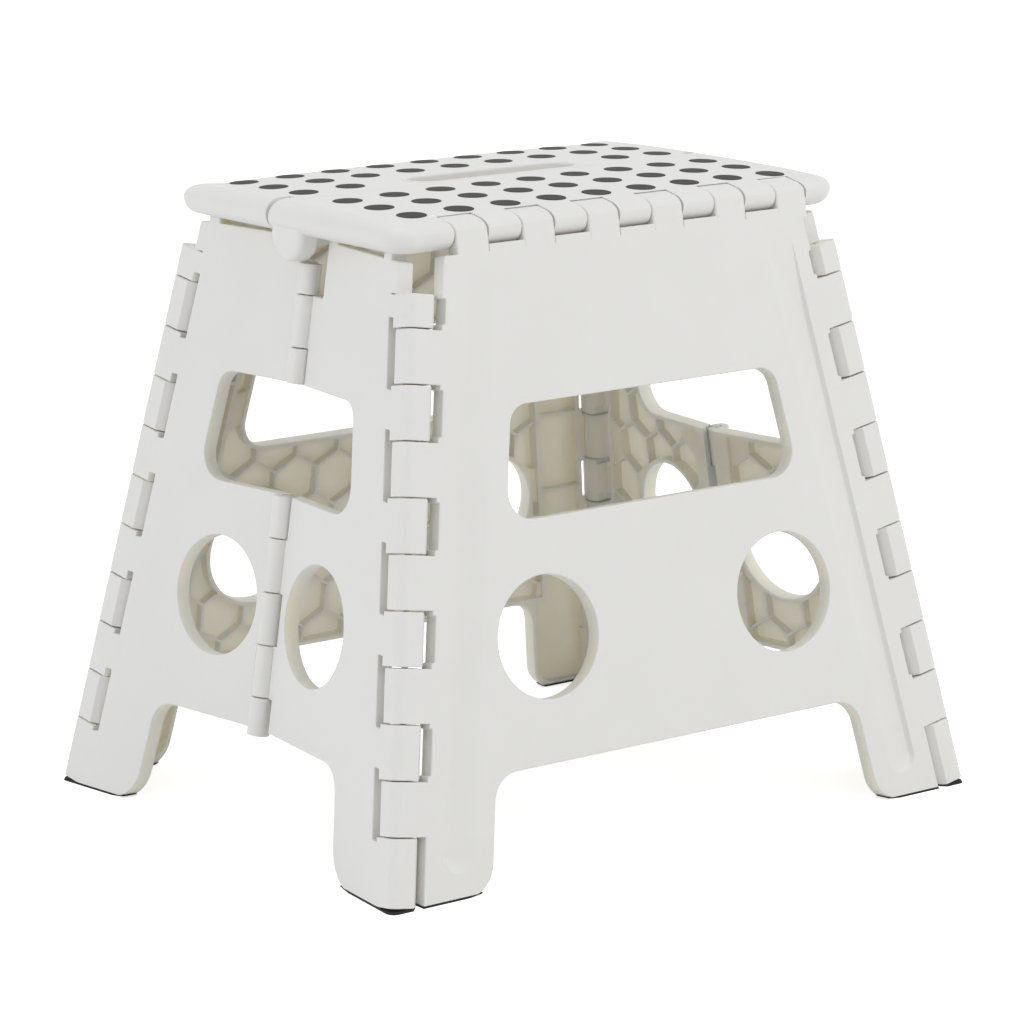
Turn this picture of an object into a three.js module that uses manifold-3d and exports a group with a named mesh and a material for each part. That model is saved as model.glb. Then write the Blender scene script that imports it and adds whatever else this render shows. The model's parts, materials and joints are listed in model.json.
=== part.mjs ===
// A folding step stool of moulded plastic, in millimetres, with +Z up.
// The seat is two leaves joined along its middle. Each long edge of the seat hinges on a leaning
// panel, and each end is closed by two end leaves that fold inwards between the panels.
// The origin is on the floor, below the middle of the seat. +X runs along the seat.

import * as THREE from 'three';
import { mergeVertices } from 'three/addons/utils/BufferGeometryUtils.js';
import Module from 'manifold-3d';

const wasm = await Module();
wasm.setup();

// Overall sizes
const stoolHeight = 390;
const baseDepth = 364.8;
const baseLengthAtMiddle = 405.4;
const seatLength = 340;
const panelLean = THREE.MathUtils.degToRad(9.65);
const endLean = THREE.MathUtils.degToRad(8.81);
const endFold = THREE.MathUtils.degToRad(82.9);

// Walls of the moulded shells
const shellDepth = 10;
const skin = 2.2;
const flange = 3;
const ribThickness = 2;
const ribDrop = 2;
const honeycombPitch = 32.5;
const smallestCellShare = 0.3;
const plateCornerRadius = 2;

// Clearances
const runningGap = 0.4;
const seatedGap = 0.3;
const overrun = 5;

// Hinge along each seat edge and corner: the axis lies this deep below both outer faces
const hingeDepth = 10.5;
const rodRadius = 2;
const rodBore = 2.5;
const centreRodRadius = 1.5;
const centreRodBore = 2;
const cornerCurve = 5;
const knuckleTuck = 4.5;
const knuckleNeck = 16;
const plateSetBack = 11.6;
const slotOuter = 13.8;
const slotInner = 8.5;
const slotEndGap = 2.5;
const notchAbove = 6;
const notchBelow = 3;

// Corner knuckles, counted upwards from the first boundary above the feet
const cornerKnucklePitchShare = 0.08154;
const cornerKnuckleFootShare = 0.10256;
const cornerKnuckleTopShare = 0.88718;
const cornerKnucklePitch = cornerKnucklePitchShare * stoolHeight;
const cornerKnuckleFoot = cornerKnuckleFootShare * stoolHeight;
const cornerKnuckleTop = cornerKnuckleTopShare * stoolHeight;
const cornerKnucklesPerPanel = 5;
const rodEndInset = 6;

// Knuckles along the long edges of the seat
const edgeKnuckleStartShare = 0.8723;
const edgeKnuckleWidthShare = 0.16723;
const edgeKnucklesPerPanel = 6;
const panelTopBelowHinge = 12;
const cradleBelowHinge = 6;

// Round holes, windows and legs, shared by panels and end leaves
const holeRadius = 37;
const holeHeightShare = 0.36026;
const windowTopShare = 0.71026;
const windowBottomShare = 0.53846;
const archHeightShare = 0.17051;
const holeHeight = holeHeightShare * stoolHeight;
const windowTop = windowTopShare * stoolHeight;
const windowBottom = windowBottomShare * stoolHeight;
const archHeight = archHeightShare * stoolHeight;
const windowTopRadius = 13;
const windowBottomRadius = 17;
const archRadius = 18;
const legWidth = 61;
const padHeight = 2.8;

// Long panels
const panelHoleShare = 0.2257;
const panelHoleOffset = panelHoleShare * baseLengthAtMiddle;
const panelWindowPost = 63;
const panelFootRadius = 20;
const fluteStart = 25;
const fluteWidth = 23;
const fluteDepth = 3;
const fluteTopHeightShare = 0.91282;
const fluteTop = fluteTopHeightShare * stoolHeight;
const fluteBottom = 14;
const fluteTopShare = 0.12;
const fluteBacking = 5.5;
const fluteTaperShare = 0.35;
const fluteFloorShare = 0.5;
const fluteFloorLength = 0.9;
const stripCells = 6;

// End leaves
const endHoleShare = 0.14529;
const endHoleOffset = endHoleShare * baseDepth;
const endWindowPost = 53;
const endFootRadius = 26;
const endTopDrop = 25.4;
const endTopSetBack = 4;
const supportTabShares = [0.1865, 0.8207];
const supportTabWidth = 9;
const endRibStart = 13;

// Centre hinge of the end leaves: barrels stand proud of the outer face
const barrelRadius = 7;
const barrelProud = 0.6;
const barrelGap = 1;
const barrelWall = 1.6;
const barrelTopCut = 19;
const barrelTopGap = 2.1;
const leafEdge = 3;
const hookFrom = THREE.MathUtils.degToRad(-131);
const hookTo = THREE.MathUtils.degToRad(49);
const reliefTurn = THREE.MathUtils.degToRad(-30);
const foldRelief = 4.4;
const foldReliefTopShare = 0.51282;
const upperBarrelShares = [0.84872, 0.76667, 0.71026];
const lowerBarrelShares = [0.53846, 0.47179, 0.38718, 0.30513, 0.22308, 0.16154];

// Seat leaves
const seatEdge = 21;
const seatSkin = 2.6;
const seatCornerRadius = 15;
const seatRib = 2;
const seatCellWidth = 34;
const seatCellRows = 3;
const pocketInset = 37;
const seamGap = 0.4;
const seamBand = 14;
const seamKnuckleRadius = 8.5;
const seamKnuckleWidth = 24;
const lobeRadius = 16.3;
const lobeWidth = 15;
const lobeInset = 2.5;
const lobeOverlap = 11;
const foldedGap = 0.6;
const seamRodStart = 4;
const seamRodEnd = 10;
const seamKnuckleShares = [0.2206, 0.2941, 0.3676];
const edgeRodInset = 20;
const slotLength = 124;
const slotNear = 5;
const slotWidth = 25;
const slotLip = 3;
const dotRadius = 9.4;
const dotPitchXShare = 0.10118;
const dotPitchYShare = 0.2765;
const firstDotRowShare = 0.1962;
const dotRise = 0.4;
const dotColumns = 9;
const dotRows = 3;
const slotColumns = 5;

// Facets
const arcSteps = 3;
const circleSteps = 18;
const holeSteps = 32;
const barrelSteps = 7;
const boreSteps = 6;
const knuckleSteps = 5;
const dotSides = 8;
const rodSides = 8;
const rimSteps = 6;

const plastic = new THREE.MeshStandardMaterial({ color: 0xe9e7e1, roughness: 0.45, metalness: 0 });
const rubber = new THREE.MeshStandardMaterial({ color: 0x1b1b1c, roughness: 0.9, metalness: 0 });
const steel = new THREE.MeshStandardMaterial({ color: 0xa9abad, roughness: 0.35, metalness: 1 });

const point = (x, y) => new THREE.Vector2(x, y);
const snap = 1e4;

// A closed geometry becomes a solid that can be joined and cut
function solidOf(geometry, matrix) {
  const bare = geometry.clone();
  bare.deleteAttribute('normal');
  bare.deleteAttribute('uv');
  if (matrix) bare.applyMatrix4(matrix);
  const places = bare.attributes.position;
  for (let i = 0; i < places.array.length; i += 1) {
    places.array[i] = Math.round(places.array[i] * snap) / snap;
  }
  const merged = mergeVertices(bare, 1 / snap);
  const vertProperties = new Float32Array(merged.attributes.position.array);
  const triVerts = new Uint32Array(merged.index.array);
  if (matrix && matrix.determinant() < 0) triVerts.reverse();
  return new wasm.Manifold(new wasm.Mesh({ numProp: 3, vertProperties, triVerts }));
}

function geometryOf(solid) {
  const mesh = solid.getMesh();
  const geometry = new THREE.BufferGeometry();
  geometry.setAttribute('position', new THREE.BufferAttribute(new Float32Array(mesh.vertProperties), 3));
  geometry.setIndex(new THREE.BufferAttribute(new Uint32Array(mesh.triVerts), 1));
  return geometry;
}

const moved = (solid, matrix) => solidOf(geometryOf(solid), matrix);
const flipX = new THREE.Matrix4().makeScale(-1, 1, 1);
const joined = (solids) => solids.reduce((sum, solid) => sum.add(solid));

// Right-handed frame whose third axis is the cross product of the first two
function frame(origin, first, second) {
  const third = new THREE.Vector3().crossVectors(first, second);
  return new THREE.Matrix4().makeBasis(first, second, third).setPosition(origin);
}

// Outline with rounded corners, from corner points that each hold a radius r
function roundedOutline(corners) {
  const points = [];
  corners.forEach((corner, i) => {
    const before = corners[(i + corners.length - 1) % corners.length];
    const after = corners[(i + 1) % corners.length];
    const back = point(before.x - corner.x, before.y - corner.y).normalize();
    const ahead = point(after.x - corner.x, after.y - corner.y).normalize();
    const half = Math.acos(THREE.MathUtils.clamp(back.dot(ahead), -1, 1)) / 2;
    if (corner.r <= 0) {
      points.push(point(corner.x, corner.y));
      return;
    }
    const reach = corner.r / Math.tan(half);
    const toCentre = back.clone().add(ahead).normalize().multiplyScalar(corner.r / Math.sin(half));
    const centre = point(corner.x, corner.y).add(toCentre);
    const start = point(corner.x, corner.y).addScaledVector(back, reach).sub(centre);
    const end = point(corner.x, corner.y).addScaledVector(ahead, reach).sub(centre);
    const sweep = Math.atan2(start.cross(end), start.dot(end));
    for (let step = 0; step <= arcSteps; step += 1) {
      const turned = start.clone().rotateAround(point(0, 0), sweep * step / arcSteps);
      points.push(turned.add(centre));
    }
  });
  return points;
}

// The same counterclockwise corners with every side moved inwards
function inset(corners, distance) {
  const count = corners.length;
  return corners.map((corner, i) => {
    const before = corners[(i + count - 1) % count];
    const after = corners[(i + 1) % count];
    const arriving = point(corner.x - before.x, corner.y - before.y).normalize();
    const leaving = point(after.x - corner.x, after.y - corner.y).normalize();
    const turn = arriving.cross(leaving);
    const slide = (1 - arriving.dot(leaving)) / turn;
    const shift = point(-arriving.y, arriving.x).addScaledVector(arriving, -slide);
    const r = Math.max(corner.r - Math.sign(turn) * distance, 0);
    return { x: corner.x + shift.x * distance, y: corner.y + shift.y * distance, r };
  });
}

function circle(x, y, radius, steps = circleSteps) {
  const points = [];
  for (let step = 0; step < steps; step += 1) {
    const angle = 2 * Math.PI * (step + 0.5) / steps;
    points.push(point(x + radius * Math.cos(angle), y + radius * Math.sin(angle)));
  }
  return points;
}

function arc(radius, from, to, steps) {
  const points = [];
  for (let step = 0; step <= steps; step += 1) {
    const angle = from + (to - from) * step / steps;
    points.push(point(radius * Math.cos(angle), radius * Math.sin(angle)));
  }
  return points;
}

// Straight prism of one outline or several, between two levels of a frame
function prism(outlines, low, high, matrix, holes = []) {
  const list = Array.isArray(outlines[0]) ? outlines : [outlines];
  const shapes = list.map((outline) => new THREE.Shape(outline));
  holes.forEach((hole) => shapes[0].holes.push(new THREE.Path(hole)));
  const geometry = new THREE.ExtrudeGeometry(shapes, { depth: high - low, bevelEnabled: false });
  geometry.translate(0, 0, low);
  return solidOf(geometry, matrix);
}

function block(x0, x1, y0, y1, z0, z1, matrix) {
  const geometry = new THREE.BoxGeometry(x1 - x0, y1 - y0, z1 - z0);
  geometry.translate((x0 + x1) / 2, (y0 + y1) / 2, (z0 + z1) / 2);
  return solidOf(geometry, matrix);
}

// Plane of a long panel: u runs along X, v up the slope, w outwards
const xAxis = new THREE.Vector3(1, 0, 0);
const panelOrigin = new THREE.Vector3(0, -baseDepth / 2, 0);
const panelSlope = new THREE.Vector3(0, Math.sin(panelLean), Math.cos(panelLean));
const panelFrame = frame(panelOrigin, xAxis, panelSlope);
const panelOut = new THREE.Vector3().setFromMatrixColumn(panelFrame, 2);

// Plane of an end leaf: u runs from the centre hinge to the corner, v up the centre hinge
const endOrigin = new THREE.Vector3(-baseLengthAtMiddle / 2, 0, 0);
const endSlope = new THREE.Vector3(Math.sin(endLean), 0, Math.cos(endLean));
const endLevel = new THREE.Vector3(-Math.cos(endFold), -Math.sin(endFold), 0);
const endAcross = endLevel.clone().addScaledVector(endSlope, -endLevel.dot(endSlope)).normalize();
const endFrame = frame(endOrigin, endAcross, endSlope);
const endOut = new THREE.Vector3().setFromMatrixColumn(endFrame, 2);

// Corner hinge line, which meets the floor at cornerFoot and rises along cornerRun
const cornerRun = new THREE.Vector3().crossVectors(endOut, panelOut).normalize();
const cornerFoot = (() => {
  const y = (panelOut.dot(panelOrigin) - hingeDepth) / panelOut.y;
  const x = (endOut.dot(endOrigin) - hingeDepth - endOut.y * y) / endOut.x;
  return new THREE.Vector3(x, y, 0);
})();
const alongCorner = (height) => height / cornerRun.z;
const cornerAt = (height) => cornerFoot.clone().addScaledVector(cornerRun, alongCorner(height));

// A leaf is one panel or end leaf: its plane and its way inwards from the corner hinge
function leafOf(plane, inward, outward) {
  const toLocal = plane.clone().invert();
  const corner = toLocal.clone().multiply(frame(cornerFoot, inward, outward));
  const upwards = Math.sign(new THREE.Vector3().crossVectors(inward, outward).dot(cornerRun));
  return { plane, toLocal, inward, outward, corner, upwards };
}
const panelLeaf = leafOf(panelFrame, new THREE.Vector3().crossVectors(cornerRun, panelOut), panelOut);
const endLeaf = leafOf(endFrame, new THREE.Vector3().crossVectors(endOut, cornerRun), endOut);

// Corner of an outline on a leaf's outer face, a set-back from the corner hinge at a height
function fromHinge(leaf, setBack, height, r = 0) {
  const level = height - setBack * leaf.inward.z - hingeDepth * leaf.outward.z;
  const place = cornerAt(level).addScaledVector(leaf.inward, setBack).applyMatrix4(leaf.toLocal);
  return { x: place.x, y: place.y, r };
}

// Corner of an outline on a leaf's outer face, a distance from the leaf's middle at a height
function fromMiddle(leaf, distance, height, r = 0) {
  const across = new THREE.Vector3().setFromMatrixColumn(leaf.plane, 0);
  const slope = new THREE.Vector3().setFromMatrixColumn(leaf.plane, 1);
  return { x: distance, y: (height - distance * across.z) / slope.z, r };
}

// Everything of a leaf below the top of its rubber pads, as a solid in the leaf's own plane
const reachOut = baseDepth + baseLengthAtMiddle;
const belowHeight = (leaf, height) => block(-reachOut, reachOut, -reachOut, reachOut, height - reachOut,
  height, leaf.toLocal);

// Seat edge hinge and seat centre hinge, both along X
const edgeHeight = stoolHeight - hingeDepth;
const edgeY = -baseDepth / 2 + edgeHeight * Math.tan(panelLean) + hingeDepth / Math.cos(panelLean);
const edgeReach = -cornerAt(edgeHeight).x;
const seatUnderside = stoolHeight - seatEdge;
const centreHeight = seatUnderside - foldedGap;
const seatHalfDepth = hingeDepth - edgeY;

// Cross-section of a corner knuckle: p runs into its own leaf, q outwards, axis at the origin
const cornerAngle = Math.PI - panelOut.angleTo(endOut);
const leafInside = hingeDepth - shellDepth;
function knuckleSection() {
  const otherOut = point(-Math.sin(cornerAngle), -Math.cos(cornerAngle));
  const otherIn = point(Math.cos(cornerAngle), -Math.sin(cornerAngle));
  const cornerP = hingeDepth * (1 - otherOut.y) / otherOut.x;
  const tuck = otherOut.clone().multiplyScalar(hingeDepth).addScaledVector(otherIn, knuckleTuck);
  const outer = roundedOutline([
    { x: knuckleNeck, y: hingeDepth, r: 0 },
    { x: cornerP, y: hingeDepth, r: cornerCurve },
    { x: tuck.x, y: tuck.y, r: 0 },
  ]);
  const from = Math.atan2(tuck.y, tuck.x) + Math.atan2(knuckleTuck, hingeDepth);
  const inner = arc(hingeDepth, from, Math.asin(leafInside / hingeDepth), knuckleSteps);
  return [...outer, ...inner, point(knuckleNeck, leafInside)];
}

// Knuckles of one leaf along its corner hinge, each between two heights
function cornerKnuckles(leaf, spans) {
  return joined(spans.map(([low, high]) => {
    const ends = [alongCorner(low) + runningGap, alongCorner(high) - runningGap];
    const levels = ends.map((level) => level * leaf.upwards).sort((a, b) => a - b);
    return prism(knuckleSection(), levels[0], levels[1], leaf.corner);
  }));
}

// Boundaries between corner knuckles: the panel holds every other space between them
const cornerBoundary = (i) => cornerKnuckleFoot + i * cornerKnucklePitch;
const panelSpans = [];
const endSpans = [[0, cornerBoundary(0)]];
for (let i = 0; i < cornerKnucklesPerPanel; i += 1) {
  const last = i === cornerKnucklesPerPanel - 1;
  panelSpans.push([cornerBoundary(2 * i), cornerBoundary(2 * i + 1)]);
  endSpans.push([cornerBoundary(2 * i + 1), last ? cornerKnuckleTop : cornerBoundary(2 * i + 2)]);
}

// Slots through a leaf beside the other leaf's knuckles, between two set-backs
function knuckleSlots(leaf, spans, near, below, above) {
  return joined(spans.map(([low, high]) => {
    const corners = [
      fromHinge(leaf, slotOuter, low - below),
      fromHinge(leaf, near, low - below),
      fromHinge(leaf, near, high + above),
      fromHinge(leaf, slotOuter, high + above),
    ];
    return prism(corners.map((corner) => point(corner.x, corner.y)), -reachOut, reachOut);
  }));
}

const cornerBore = (leaf) => prism(circle(0, 0, rodBore, boreSteps), -reachOut, reachOut, leaf.corner);

// Honeycomb of open cells between ribs, as one solid to cut away
function honeycomb(region, low, high) {
  const box = new THREE.Box2().setFromPoints(region);
  const rowPitch = honeycombPitch * Math.sqrt(3) / 2;
  const cellRadius = (honeycombPitch - ribThickness) / Math.sqrt(3);
  const cells = [];
  const rows = Math.ceil((box.max.y - box.min.y) / rowPitch) + 1;
  const columns = Math.ceil(Math.max(-box.min.x, box.max.x) / honeycombPitch) + 1;
  for (let row = 0; row < rows; row += 1) {
    for (let column = -columns; column <= columns; column += 1) {
      const x = (column + (row % 2) / 2) * honeycombPitch;
      const y = box.min.y + row * rowPitch;
      const cell = [];
      for (let side = 0; side < 6; side += 1) {
        const angle = Math.PI / 6 + side * Math.PI / 3;
        cell.push(point(x + cellRadius * Math.cos(angle), y + cellRadius * Math.sin(angle)));
      }
      if (box.intersectsBox(new THREE.Box2().setFromPoints(cell))) cells.push(cell);
    }
  }
  return prism(cells, low, high);
}

// Moulded plate: outer skin, flange round every edge and opening, honeycomb ribs behind
function ribbedPlate(corners, ribbed, windows, holes) {
  const openings = [
    ...windows.map((window) => roundedOutline(window)),
    ...holes.map((hole) => circle(hole.x, hole.y, holeRadius, holeSteps)),
  ];
  const body = prism(roundedOutline(corners), -shellDepth, 0);
  const cuts = openings.map((opening) => prism(opening, -shellDepth - overrun, overrun));
  const region = roundedOutline(inset(ribbed, flange));
  const walls = [
    ...windows.map((window) => prism(roundedOutline(inset(window, -flange)), -reachOut, reachOut)),
    ...holes.map((hole) => prism(circle(hole.x, hole.y, holeRadius + flange, holeSteps), -reachOut, reachOut)),
  ];
  const rest = -shellDepth + ribDrop;
  const well = prism(region, -shellDepth - overrun, rest);
  const cells = honeycomb(region, rest - overrun, -skin).intersect(prism(region, rest - overrun, 0));
  const fullCell = Math.sqrt(3) / 2 * honeycombPitch ** 2 * (shellDepth - ribDrop - skin + overrun);
  const open = walls.reduce((left, wall) => left.subtract(wall), cells);
  const kept = open.decompose().filter((cell) => cell.volume() > smallestCellShare * fullCell);
  const hollow = walls.reduce((left, wall) => left.subtract(wall), well);
  return [...cuts, hollow, joined(kept)].reduce((left, cut) => left.subtract(cut), body);
}

// Hollow inside one leg, between its flanges
function legHollow(leaf, footRadius, wall) {
  const floor = padHeight + seatedGap + flange;
  const inner = [
    fromHinge(leaf, legWidth - flange, archHeight),
    fromHinge(leaf, legWidth - flange, floor, footRadius - flange),
    fromHinge(leaf, knuckleNeck + flange, floor),
    fromHinge(leaf, knuckleNeck + flange, archHeight),
  ];
  const outline = roundedOutline(inner);
  const turned = THREE.ShapeUtils.area(outline) > 0 ? outline : outline.reverse();
  return prism(turned, -shellDepth - overrun, -wall);
}

// Sides of the legs, the arch between them and the sides of a leaf
function legCorners(leaf, footRadius) {
  return [
    fromHinge(leaf, legWidth, archHeight, archRadius),
    fromHinge(leaf, legWidth, 0, footRadius),
    fromHinge(leaf, plateSetBack, 0),
  ];
}

// Counterclockwise outline, symmetric about the middle, from its right side upwards
function bothSides(side) {
  const right = side.map((corner) => ({ ...corner, x: Math.abs(corner.x) }));
  const left = [...right].reverse().map((corner) => ({ ...corner, x: -corner.x }));
  return [...right, ...left];
}

// Solid through matching outlines, each at its own level
function loft(outlines, levels) {
  const count = outlines[0].length;
  const last = (outlines.length - 1) * count;
  const places = outlines.flatMap((outline, k) => outline.flatMap((place) => [place.x, place.y, levels[k]]));
  const faces = [];
  THREE.ShapeUtils.triangulateShape(outlines[0], []).forEach(([i, j, k]) => faces.push(i, k, j));
  THREE.ShapeUtils.triangulateShape(outlines.at(-1), []).forEach(([i, j, k]) => {
    faces.push(i + last, j + last, k + last);
  });
  for (let from = 0; from < last; from += count) {
    for (let i = 0; i < count; i += 1) {
      const a = from + i;
      const b = from + (i + 1) % count;
      faces.push(a, b, b + count, a, b + count, a + count);
    }
  }
  const geometry = new THREE.BufferGeometry();
  geometry.setAttribute('position', new THREE.Float32BufferAttribute(places, 3));
  geometry.setIndex(faces);
  return solidOf(geometry);
}

// Shallow channel down the outer face, narrow at its top and round at its foot
function flute() {
  const middle = fluteStart + fluteWidth / 2;
  const foot = fromHinge(panelLeaf, middle, fluteBottom + fluteWidth / 2);
  const tip = fromHinge(panelLeaf, middle, fluteTop);
  const start = point(foot.x, foot.y);
  const run = point(tip.x, tip.y).sub(start);
  const lean = run.angle() - Math.PI / 2;
  const rim = (half, length) => [
    ...arc(half, Math.PI, 2 * Math.PI, 2 * arcSteps),
    point(half, length * fluteTaperShare),
    point(half * fluteTopShare, length),
    point(-half * fluteTopShare, length),
    point(-half, length * fluteTaperShare),
  ].map((place) => place.rotateAround(point(0, 0), lean).add(start));
  const full = run.length();
  const floor = rim(fluteWidth / 2 * fluteFloorShare, full * fluteFloorLength);
  const mouth = rim(fluteWidth / 2, full);
  return loft([floor, mouth, mouth], [-fluteDepth, 0, overrun]);
}

// Tongues that rise from the panel's top to barrels round the seat edge hinge
const edgeOrigin = new THREE.Vector3(0, edgeY, edgeHeight);
const edgeBoundary = (i) => edgeReach * (i * edgeKnuckleWidthShare - edgeKnuckleStartShare);
const tongueMatrix = panelLeaf.toLocal.clone().multiply(
  frame(edgeOrigin, panelSlope.clone().negate(), panelOut),
);
function edgeTongues() {
  const neck = panelTopBelowHinge + plateCornerRadius + flange;
  const section = [
    point(neck, hingeDepth),
    ...arc(hingeDepth, Math.PI / 2, 2 * Math.PI + Math.asin(leafInside / hingeDepth), barrelSteps),
    point(neck, leafInside),
  ];
  const tongues = [];
  for (let i = 0; i < edgeKnucklesPerPanel; i += 1) {
    const low = edgeBoundary(2 * i) + runningGap;
    const high = edgeBoundary(2 * i + 1) - runningGap;
    tongues.push(prism(section, -high, -low, tongueMatrix));
  }
  return joined(tongues);
}

// Top of the panel between its tongues: a lip that follows the round rim of the seat
function cradles() {
  const neck = panelTopBelowHinge + plateCornerRadius + flange;
  const section = [
    point(cradleBelowHinge, leafInside),
    point(neck, leafInside),
    point(neck, hingeDepth),
    point(cradleBelowHinge, hingeDepth),
  ];
  const lips = [];
  for (let i = 1; i < edgeKnucklesPerPanel; i += 1) {
    const low = edgeBoundary(2 * i - 1) - 2 * runningGap;
    const high = edgeBoundary(2 * i) + 2 * runningGap;
    lips.push(prism(section, -high, -low, tongueMatrix));
  }
  const rim = prism(circle(0, 0, hingeDepth + runningGap), -reachOut, reachOut, tongueMatrix);
  return joined(lips).subtract(rim);
}

const longBore = (matrix) => prism(circle(0, 0, rodBore, boreSteps), -reachOut, reachOut, matrix);

// Long panel
function panelOutline() {
  const top = edgeHeight - panelTopBelowHinge;
  const side = [
    ...legCorners(panelLeaf, panelFootRadius),
    fromHinge(panelLeaf, plateSetBack, top, plateCornerRadius),
  ];
  return bothSides(side);
}

function panelSolid() {
  const top = edgeHeight - panelTopBelowHinge;
  const stripEdge = fluteStart + fluteWidth;
  const ribbed = bothSides([
    fromHinge(panelLeaf, stripEdge, archHeight),
    fromHinge(panelLeaf, stripEdge, top),
  ]);
  const window = bothSides([
    fromHinge(panelLeaf, panelWindowPost, windowBottom, windowBottomRadius),
    fromHinge(panelLeaf, panelWindowPost, windowTop, windowTopRadius),
  ]);
  const level = fromMiddle(panelLeaf, panelHoleOffset, holeHeight).y;
  const holes = [-1, 1].map((side) => point(side * panelHoleOffset, level));
  const plate = ribbedPlate(panelOutline(), ribbed, [window], holes);
  const strip = sideStrip(top);
  const channel = flute();
  const knuckles = cornerKnuckles(panelLeaf, panelSpans).subtract(cornerBore(panelLeaf));
  const tongues = edgeTongues().subtract(longBore(tongueMatrix));
  const whole = joined([plate, cradles(), knuckles, moved(knuckles, flipX), tongues]);
  const floor = belowHeight(panelLeaf, padHeight + seatedGap);
  const hollow = legHollow(panelLeaf, panelFootRadius, fluteBacking);
  const slots = knuckleSlots(panelLeaf, endSpans.slice(1), plateSetBack - overrun, -slotEndGap, -slotEndGap);
  const oneSide = [strip, channel, hollow, slots];
  const cuts = [...oneSide, ...oneSide.map((cut) => moved(cut, flipX)), floor];
  return cuts.reduce((left, cut) => left.subtract(cut), whole);
}

// Hollow behind the channel, between the panel's side and the honeycomb, with cross ribs
function sideStrip(top) {
  const low = cornerBoundary(0);
  const pitch = (top - flange - low) / stripCells;
  const cells = [];
  for (let i = 0; i < stripCells; i += 1) {
    const from = low + i * pitch;
    const to = from + pitch - ribThickness;
    cells.push(roundedOutline([
      fromHinge(panelLeaf, slotOuter + flange, from),
      fromHinge(panelLeaf, fluteStart + fluteWidth, from),
      fromHinge(panelLeaf, fluteStart + fluteWidth, to),
      fromHinge(panelLeaf, slotOuter + flange, to),
    ]));
  }
  return prism(cells, -shellDepth - overrun, -fluteBacking);
}

// Rubber pad under one leg: the slice of the leg between the floor and the pad's top
function footPad(leaf, footRadius, knuckle) {
  const outline = [
    fromHinge(leaf, legWidth, archHeight),
    fromHinge(leaf, legWidth, 0, footRadius),
    fromHinge(leaf, plateSetBack, 0),
    fromHinge(leaf, plateSetBack, archHeight),
  ];
  const counter = THREE.ShapeUtils.area(roundedOutline(outline)) > 0 ? outline : outline.reverse();
  const leg = prism(roundedOutline(counter), -shellDepth, 0);
  const whole = knuckle ? leg.add(knuckle) : leg;
  return whole.intersect(belowHeight(leaf, padHeight)).subtract(belowHeight(leaf, 0));
}

// Steel rod between two levels of a frame's third axis
function rod(low, high, matrix) {
  return prism(circle(0, 0, rodRadius, rodSides), low, high, matrix);
}

// Centre hinge of an end: its axis rises beside the outer faces of both end leaves
const upperBarrels = [
  centreHeight - lobeRadius - barrelTopGap,
  ...upperBarrelShares.map((share) => share * stoolHeight),
];
const lowerBarrels = lowerBarrelShares.map((share) => share * stoolHeight);
const foldReliefTop = foldReliefTopShare * stoolHeight;
const endTop = stoolHeight - endTopDrop;
const centreNormal = new THREE.Vector3(-Math.cos(endLean), 0, Math.sin(endLean));
const centreOrigin = endOrigin.clone().addScaledVector(centreNormal, barrelProud / centreNormal.dot(endOut));
const centreMatrix = endLeaf.toLocal.clone().multiply(frame(centreOrigin, endAcross, endOut));
const downCentre = (height) => (centreOrigin.z - height) / endSlope.z;
const centrePrism = (outline, top, bottom, gap = 0) => prism(outline, downCentre(top) - gap,
  downCentre(bottom) + gap, centreMatrix);

// Room for the other leaf's knuckle: it drifts towards this leaf as the stool folds
function knuckleRoom(bottom) {
  const share = THREE.MathUtils.clamp((foldReliefTop - bottom) / (foldReliefTop - lowerBarrels.at(-1)), 0, 1);
  const drift = point(Math.cos(reliefTurn), Math.sin(reliefTurn)).multiplyScalar(foldRelief * share);
  const room = barrelRadius + barrelGap;
  const from = reliefTurn - Math.PI / 2;
  return [
    ...arc(room, from, from + Math.PI, barrelSteps).map((place) => place.add(drift)),
    ...arc(room, from + Math.PI, from + 2 * Math.PI, barrelSteps),
  ];
}

// Spans of the centre hinge: closed barrels and open hooks take turns downwards
const spansOf = (heights, first) => heights.slice(0, -1).map((top, i) => [top, heights[i + 1], (i + first) % 2]);
const centreSpans = [...spansOf(upperBarrels, 0), ...spansOf(lowerBarrels, 0)];
const barrelSpans = centreSpans.filter((span) => span[2] === 0);
const hookSpans = centreSpans.filter((span) => span[2] === 1);

const hookSection = [
  ...arc(barrelRadius, hookFrom, hookTo, barrelSteps),
  ...arc(barrelRadius - barrelWall, hookFrom, hookTo, barrelSteps).reverse(),
];

// End leaf with either hooks or barrels along the centre hinge
function endOutline(notchBottom) {
  return [
    fromMiddle(endLeaf, leafEdge, archHeight, plateCornerRadius),
    ...legCorners(endLeaf, endFootRadius),
    fromHinge(endLeaf, plateSetBack, cornerKnuckleTop),
    fromHinge(endLeaf, endTopSetBack, cornerKnuckleTop),
    fromHinge(endLeaf, endTopSetBack, endTop, plateCornerRadius),
    fromMiddle(endLeaf, barrelTopCut, endTop, plateCornerRadius),
    fromMiddle(endLeaf, barrelTopCut, notchBottom, plateCornerRadius),
    fromMiddle(endLeaf, leafEdge, notchBottom, plateCornerRadius),
  ];
}

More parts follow.
